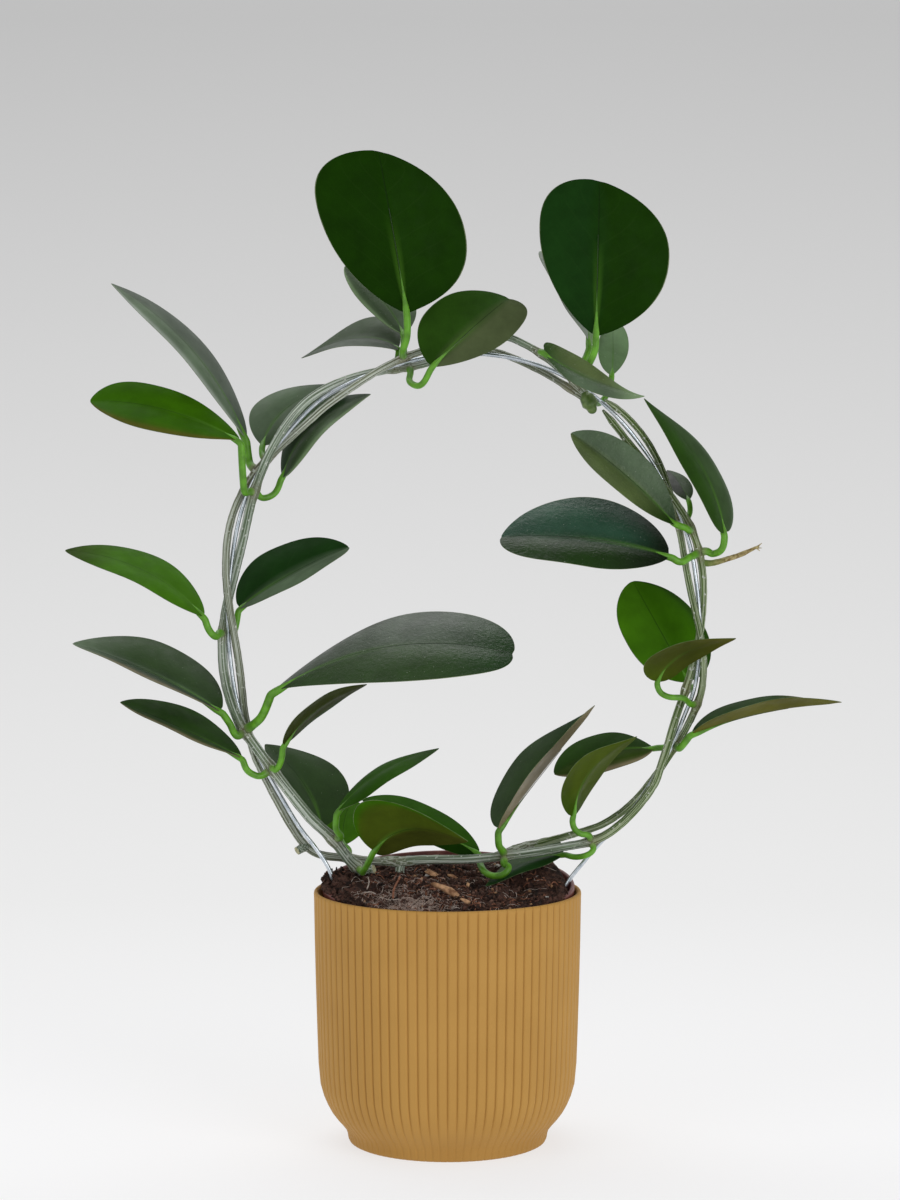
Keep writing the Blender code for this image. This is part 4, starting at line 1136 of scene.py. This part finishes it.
def leaf_mesh(name, leaf, look, number):
    """One leaf with its colours. Finish 0 is for the blade, 1 for its rim and 2 for the stalk."""
    place_on, widest = surface_of(leaf, number)
    line, radii = stalk_and_run(leaf, place_on)
    bm = bmesh.new()
    bm.from_mesh(tubes("stalk", [(line, radii)], 4))
    uv = bm.loops.layers.uv.verify()
    across_layer = bm.verts.layers.float.new("across")
    along_layer = bm.verts.layers.float.new("along")
    colour_layer = bm.verts.layers.float_color.new("blade_colour")
    for face in bm.faces:
        face.material_index = 2
    for vert in bm.verts:
        at = min(range(len(line)), key=lambda i: (line[i] - vert.co).length_squared)
        share = eased((at - len(line) + RUN_POINTS) / (0.5 * RUN_POINTS))
        own = TONES["stalk"].lerp(TONES["collar"], 1 - eased(at / 3))
        vert[colour_layer] = (*own.lerp(blade_colour(look, 0, 0.3), share), 1)
    sheet = bmesh.ops.create_grid(bm, x_segments=BLADE_COLUMNS, y_segments=BLADE_ROWS, size=1,
                                  calc_uvs=True)["verts"]
    ups = {}
    for vert in sheet:
        a = math.sin(vert.co.x * math.pi / 2) * 0.5 + vert.co.x * 0.5
        t = 0.006 + 0.992 * (1 - math.cos(math.pi * (vert.co.y + 1) / 2)) / 2
        vert[across_layer], vert[along_layer] = a, t
        vert.co, ups[vert] = place_on(a, t)
    faces = list({face for vert in sheet for face in vert.link_faces})
    edges = list({edge for vert in sheet for edge in vert.link_edges})
    for face in faces:
        face.material_index = 0
        for loop in face.loops:
            loop[uv].uv = (0.5 + loop.vert[across_layer] / 2, loop.vert[along_layer])
    made = bmesh.ops.extrude_face_region(bm, geom=sheet + edges + faces, use_keep_orig=True)["geom"]
    for item in made:
        if isinstance(item, bmesh.types.BMVert):
            a, t = item[across_layer], item[along_layer]
            up = place_on(a, t)[1]
            edge = max(0.35, (1 - abs(a) ** 6) * min(1, (1 - t) * 12))
            item.co -= up * BLADE_THICKNESS * edge
    under = {item for item in made if isinstance(item, bmesh.types.BMFace)}
    upper = set(faces)
    rim = {face for vert in sheet for face in vert.link_faces} - upper
    for face in rim:
        face.material_index = 1
    bmesh.ops.recalc_face_normals(bm, faces=list(upper | under | rim))

    middle, up = place_on(0, widest)
    upper_seen = up.dot(EYE - middle) > 0
    # The side turned to the camera gets the look with its painted sheen and shade, the other a plain tone.
    for vert in {vert for face in upper | under for vert in face.verts}:
        if (vert in ups) == upper_seen:
            colour = blade_colour(look, vert[across_layer], vert[along_layer])
        else:
            colour = TONES[look.back or ("underside" if upper_seen else "upper")]
        vert[colour_layer] = (*colour, 1)
    return finished(bm, name)


print("corners of a blade's grid:", (BLADE_COLUMNS + 1) * (BLADE_ROWS + 1))

# %% [markdown]
# ## The leaf finishes
#
# A blade reads its colour from the mesh and adds what is the same on every leaf: a thin dark crease down the
# middle, which is painted shade, a fresh green midrib that fades from the base, faint side veins and a light
# mottling. The satin and glossy leaves also get a few pale specks, which are painted glints. The pattern
# reads the leaf's UV map, in which U goes across the blade and V along it. The deep green leaves are matt,
# the grey ones satin, and a few are glossy and wrinkled, so one function makes three.

# %% Make the leaf finishes
SIDE_VEINS = 6.5


def blade_finish(name, roughness, specular, wrinkle, glint_specks):
    finish, shader = new_finish("leaf_" + name, roughness, specular)
    blade = add(finish, "ShaderNodeAttribute", attribute_name="blade_colour").outputs["Color"]
    uv = place_parts(finish, "UV")
    across = math_node(finish, "ABSOLUTE", math_node(finish, "SUBTRACT", uv["X"], 0.5))
    along = uv["Y"]

    cloud = stretched(finish, mottle(finish, 60, 4, 0.6), 0.32, 0.68, 0.82, 1.18)
    clouded = add(finish, "ShaderNodeVectorMath", {0: blade, 1: cloud}, operation="MULTIPLY").outputs[0]
    band = stretched(finish, across, 0.005, 0.05, 1.0, 0.0)
    band = math_node(finish, "MULTIPLY", band, stretched(finish, along, 0.02, 0.62, 0.75, 0.0))
    ribbed = mixed(finish, band, clouded, (0.075, 0.20, 0.018))
    # Painted shade: a thin dark line down the crease at the midrib.
    shaded_crease = stretched(finish, across, 0.002, 0.008, 0.6, 0.0)
    shaded_crease = math_node(finish, "MULTIPLY", shaded_crease, stretched(finish, along, 0.10, 0.35))
    crease_shaded = mixed(finish, shaded_crease, ribbed, (0.006, 0.018, 0.003))

    slant = math_node(finish, "SUBTRACT", along, math_node(finish, "MULTIPLY", across, 0.75))
    wander = math_node(finish, "MULTIPLY", mottle(finish, 45, 2), 0.06)
    slant = math_node(finish, "ADD", slant, wander)
    comb = math_node(finish, "FRACT", math_node(finish, "MULTIPLY", slant, SIDE_VEINS))
    line = stretched(finish, math_node(finish, "PINGPONG", comb, 0.5), 0.0, 0.05, 1.0, 0.0)
    veins = math_node(finish, "MULTIPLY", line, stretched(finish, across, 0.25, 0.46, 0.015, 0.0))
    veined = mixed(finish, veins, crease_shaded, (0.16, 0.26, 0.08))
    # Painted glints: pale specks, none on the matt leaves and most on the waxed ones.
    speck = stretched(finish, mottle(finish, 1300, 1, 0.4), 0.77, 0.80, 0.0, glint_specks)
    paint(finish, shader, base_color=mixed(finish, speck, veined, (0.55, 0.6, 0.5)),
          roughness=stretched(finish, mottle(finish, 160, 3), 0.3, 0.7, roughness - 0.06, roughness + 0.08))
    marks = math_node(finish, "MULTIPLY", math_node(finish, "ADD", shaded_crease, veins), -1.6)
    raise_bumps(finish, shader, math_node(finish, "ADD", mottle(finish, 420, 4, 0.65), marks), wrinkle, 0.6)
    return finish


# For each gloss: roughness, specular, wrinkle depth and the strength of the painted glints.
GLOSSES = {"matt": (0.55, 0.03, 0.0002, 0.0), "satin": (0.46, 0.12, 0.0002, 0.4),
           "waxed": (0.34, 0.22, 0.0009, 0.5)}
BLADES = {name: blade_finish(name, *values) for name, values in GLOSSES.items()}
rim_green = two_tone("leaf_rim_green", 0.5, 0.2, (150, 3), (0.35, 0.65), (0.05, 0.085, 0.022),
                     (0.17, 0.22, 0.10))

stalk_green, shader = new_finish("leaf_stalk_green", 0.4, 0.35)
own = add(stalk_green, "ShaderNodeAttribute", attribute_name="blade_colour").outputs["Color"]
blush = stretched(stalk_green, mottle(stalk_green, 190, 3), 0.35, 0.65, 0.75, 1.3)
own = add(stalk_green, "ShaderNodeVectorMath", {0: own, 1: blush}, operation="MULTIPLY").outputs[0]
paint(stalk_green, shader, base_color=own)
raise_bumps(stalk_green, shader, mottle(stalk_green, 800, 3), 0.0002, 0.5)
print("leaf finishes:", len(BLADES) + 2)

# %% [markdown]
# ## Growing the leaves
#
# Each leaf is one mesh of blade and stalk that stands for its node in the model. Its three finishes are the
# blade's, the rim's and the stalk's. One round of subdivision rounds the rim and smooths the fold.

# %% Grow the leaves
for number, (leaf, look) in enumerate(zip(LEAVES, LOOKS), 1):
    node = f"leaf_{number:02d}"
    mesh = leaf_mesh(node + "_waxy", leaf, look, number)
    finishes = [BLADES[look.gloss], rim_green, stalk_green]
    piece = add_piece(node + "_waxy", mesh, finishes, [node], sharp=75)
    rounding = piece.modifiers.new("rounding", "SUBSURF")
    rounding.levels = rounding.render_levels = 1
print("leaves grown:", len(LEAVES))

# %% [markdown]
# ## Fibres on the soil
#
# The soil is covered with curled coir fibres. Most are dark, some are reddish and some pale, and at the
# front there is a paler tangle of them. They are thin tubes that lie on the soil, many in one mesh. Each
# starts at a random place and turns a little at every step, and the seed makes the same fibres every time.

# %% Lay the fibres
rng = random.Random(41)
FIBRE_POINTS = 7


def on_soil(x, y, over):
    """A point over the soil or over the pot's rim, at a place in the nursery pot's own frame."""
    ground = 0 if math.hypot(x, y) > SOIL_EDGE - 1 * MM else soil_top(x, y)
    return nursery_place @ Vector((x, y, ground + over))


def fibre_line(x, y, length, curl):
    """A curled line on the soil from a place on it, turned back before it leaves the pot."""
    turn = rng.uniform(0, 2 * math.pi)
    points = []
    for i in range(FIBRE_POINTS):
        lift = 1.6 * curl * math.sin(math.pi * i / (FIBRE_POINTS - 1)) * rng.uniform(0.2, 1)
        points.append(on_soil(x, y, (0.15 + lift) * MM))
        x += math.cos(turn) * length / FIBRE_POINTS
        y += math.sin(turn) * length / FIBRE_POINTS
        turn += rng.uniform(-1, 1) * curl
        if math.hypot(x, y) > SOIL_EDGE - 3.5 * MM:
            turn += math.pi / 2
            x *= 0.96
            y *= 0.96
    return smooth(points, length / 10)


def fibres(name, count, centre, spread, length, radius, curl, finish):
    """One piece of many fibres, scattered round a centre."""
    routes = []
    while len(routes) < count:
        x, y = rng.gauss(centre[0], spread) * MM, rng.gauss(centre[1], spread) * MM
        if math.hypot(x, y) < SOIL_EDGE - 5 * MM:
            line = fibre_line(x, y, rng.uniform(0.5, 1.2) * length * MM, curl)
            routes.append((line, [radius * MM * rng.uniform(0.7, 1.2)] * len(line)))
    return add_piece(name, tubes(name, routes, 0), [finish], [], sharp=180)


def coir_finish(name, dark, light, scale=300):
    return two_tone(name, 0.85, 0.2, (scale, 4, 0.65), (0.36, 0.66), dark, light,
                    bumps=((scale * 3, 4, 0.7), 0.0004, 0.8))


dark_fibre = coir_finish("coir_dark", (0.018, 0.009, 0.006), (0.10, 0.052, 0.034))
red_fibre = coir_finish("coir_reddish", (0.15, 0.055, 0.03), (0.40, 0.18, 0.11))
pale_fibre = coir_finish("coir_pale", (0.32, 0.25, 0.21), (0.72, 0.62, 0.56))
tangle_fibre = coir_finish("coir_tangle", (0.34, 0.24, 0.20), (0.80, 0.64, 0.56))
FIBRES = [
    ("coir_fibres_dark", 380, (0, -8), 34, 11, 0.24, 1.1, dark_fibre),
    ("coir_fibres_reddish", 170, (0, -14), 34, 12, 0.27, 0.9, red_fibre),
    ("coir_fibres_pale", 170, (-4, -18), 34, 15, 0.12, 1.0, pale_fibre),
    ("coir_tangle_front", 420, (-20, -34), 11, 10, 0.085, 1.2, tangle_fibre),
]
for row in FIBRES:
    fibres(*row)
print("fibres:", sum(row[1] for row in FIBRES))

# %% [markdown]
# ## Crumbs on the soil
#
# Crumbs of coir and bark lie all over the soil, and some have spilled on the pot's rim, at the left and at
# the front right. Each is a small icosphere that noise pulls out of shape, drawn out along a direction, and
# many are one mesh.

# %% Scatter the crumbs
def lump_on(bm, centre, way, length, width, height, roughness, number):
    """Adds a rough lump to a mesh, drawn out along a direction."""
    verts = bmesh.ops.create_icosphere(bm, subdivisions=1 if length < 4 * MM else 2, radius=0.5)["verts"]
    seed = Vector((number * 3.1, 1.7, 5.2))
    for vert in verts:
        vert.co *= 1 + roughness * noise.noise(vert.co * 2.4 + seed)
    bmesh.ops.scale(bm, verts=verts, vec=(length, width, height))
    bmesh.ops.rotate(bm, verts=verts, matrix=way.to_track_quat("X", "Z").to_matrix())
    bmesh.ops.translate(bm, verts=verts, vec=centre)


def finished_lumps(bm, name, finish):
    return add_piece(name, finished(bm, name), [finish], [], sharp=60)


def in_the_middle():
    return rng.gauss(0, 34) * MM, rng.gauss(-6, 34) * MM


def by_the_rim():
    turn = math.radians(rng.choice((rng.gauss(195, 22), rng.gauss(318, 12))))
    out = rng.uniform(57, 66.5) * MM
    return out * math.cos(turn), out * math.sin(turn)


def crumbs(name, count, size, finish, place, reach, piled=0.0):
    """One piece of many crumbs. Those over the rim at the left may be piled up as high as the soil."""
    bm = bmesh.new()
    made = 0
    while made < count:
        x, y = place()
        if math.hypot(x, y) < reach:
            made += 1
            over_rim = x < 0 and math.hypot(x, y) > SOIL_EDGE - 1 * MM
            pile = piled * rng.random() * max(0, soil_height(x, y)) if over_rim else 0
            long, wide, high = (rng.uniform(0.6, 2.4) * size * MM for _ in range(3))
            way = Vector((rng.gauss(0, 1), rng.gauss(0, 1), rng.gauss(0, 0.3)))
            lump_on(bm, on_soil(x, y, 0.2 * high + pile), way, long, wide, high, 0.6, made)
    return finished_lumps(bm, name, finish)


crumb_brown = coir_finish("crumb_brown", (0.03, 0.014, 0.010), (0.20, 0.11, 0.08), 400)
bark_chip = coir_finish("bark_chip", (0.20, 0.095, 0.048), (0.68, 0.41, 0.23), 260)
SOIL_MIDDLE = SOIL_EDGE - 4 * MM
CRUMBS = [
    ("soil_crumbs_dark", 560, 1.7, coir, in_the_middle, SOIL_MIDDLE),
    ("soil_crumbs_brown", 200, 1.4, crumb_brown, in_the_middle, SOIL_MIDDLE),
    ("soil_crumbs_tan", 50, 1.2, bark_chip, in_the_middle, SOIL_MIDDLE),
    ("soil_crumbs_on_rim", 480, 1.5, coir, by_the_rim, 67 * MM, 0.5),
]
for row in CRUMBS:
    crumbs(*row)
print("crumbs:", sum(row[1] for row in CRUMBS))

# %% [markdown]
# ## Roots, chips and white bits
#
# A few things on the soil are large enough to be placed one by one: two pale roots and a reddish one, four
# tan chips of bark and some white bits of perlite. Each is given by its place in the photograph. Its depth
# is found by going back from the camera until the ground is reached, so that it lies on the soil.

# %% Place the roots, chips and white bits
CHIPS = [((433, 883), (461, 897), 5.4), ((460, 899), (475, 905), 3.4), ((448, 874), (460, 880), 2.6),
         ((425, 870), (438, 876), 4.4)]
WHITE_BITS = [((494, 866), (501, 866), 3.3), ((510, 862), (514, 863), 1.4), ((426, 865), (430, 866), 1.5),
              ((545, 897), (549, 897), 1.6), ((425, 875), (431, 875), 3.0)]
ROOTS = [([(364, 893), (371, 892), (379, 896), (390, 900), (399, 899)], 0.3, pale_fibre),
         ([(368, 877), (369, 882), (367, 889)], 0.3, pale_fibre),
         ([(393, 898), (394, 889), (400, 877)], 0.6, red_fibre)]
ROOT_OVER = 7
CHIP_OVER = 4


def depth_on_soil(across, down):
    """How far back a place of the photograph falls on the soil, in millimetres."""
    to_pot = nursery_place.inverted()
    for depth in range(-62, 62):
        place = to_pot @ seen(across, down, depth)
        if place.z < soil_top(place.x, place.y):
            break
    return depth


for number, (places, radius, finish) in enumerate(ROOTS):
    line = smooth([seen(*place, depth_on_soil(*place) - ROOT_OVER) for place in places], 0.8 * MM)
    mesh = tubes(f"coir_root_{number}", [(line, [radius * MM] * len(line))], 1)
    add_piece(f"coir_root_{number}", mesh, [finish], [], sharp=180)

perlite = coir_finish("perlite_white", (0.40, 0.38, 0.34), (0.72, 0.70, 0.66), 500)
for name, bits, finish in (("soil_chips_tan", CHIPS, bark_chip), ("soil_perlite", WHITE_BITS, perlite)):
    bm = bmesh.new()
    for number, (start, end, width) in enumerate(bits):
        depth = depth_on_soil((start[0] + end[0]) / 2, max(start[1], end[1])) - CHIP_OVER
        first, last = seen(*start, depth), seen(*end, depth)
        across = last - first
        lump_on(bm, (first + last) / 2, across, across.length, width * MM, 0.7 * width * MM, 0.7, number)
    finished_lumps(bm, name, finish)
print("chips:", len(CHIPS), "white bits:", len(WHITE_BITS), "roots:", len(ROOTS))
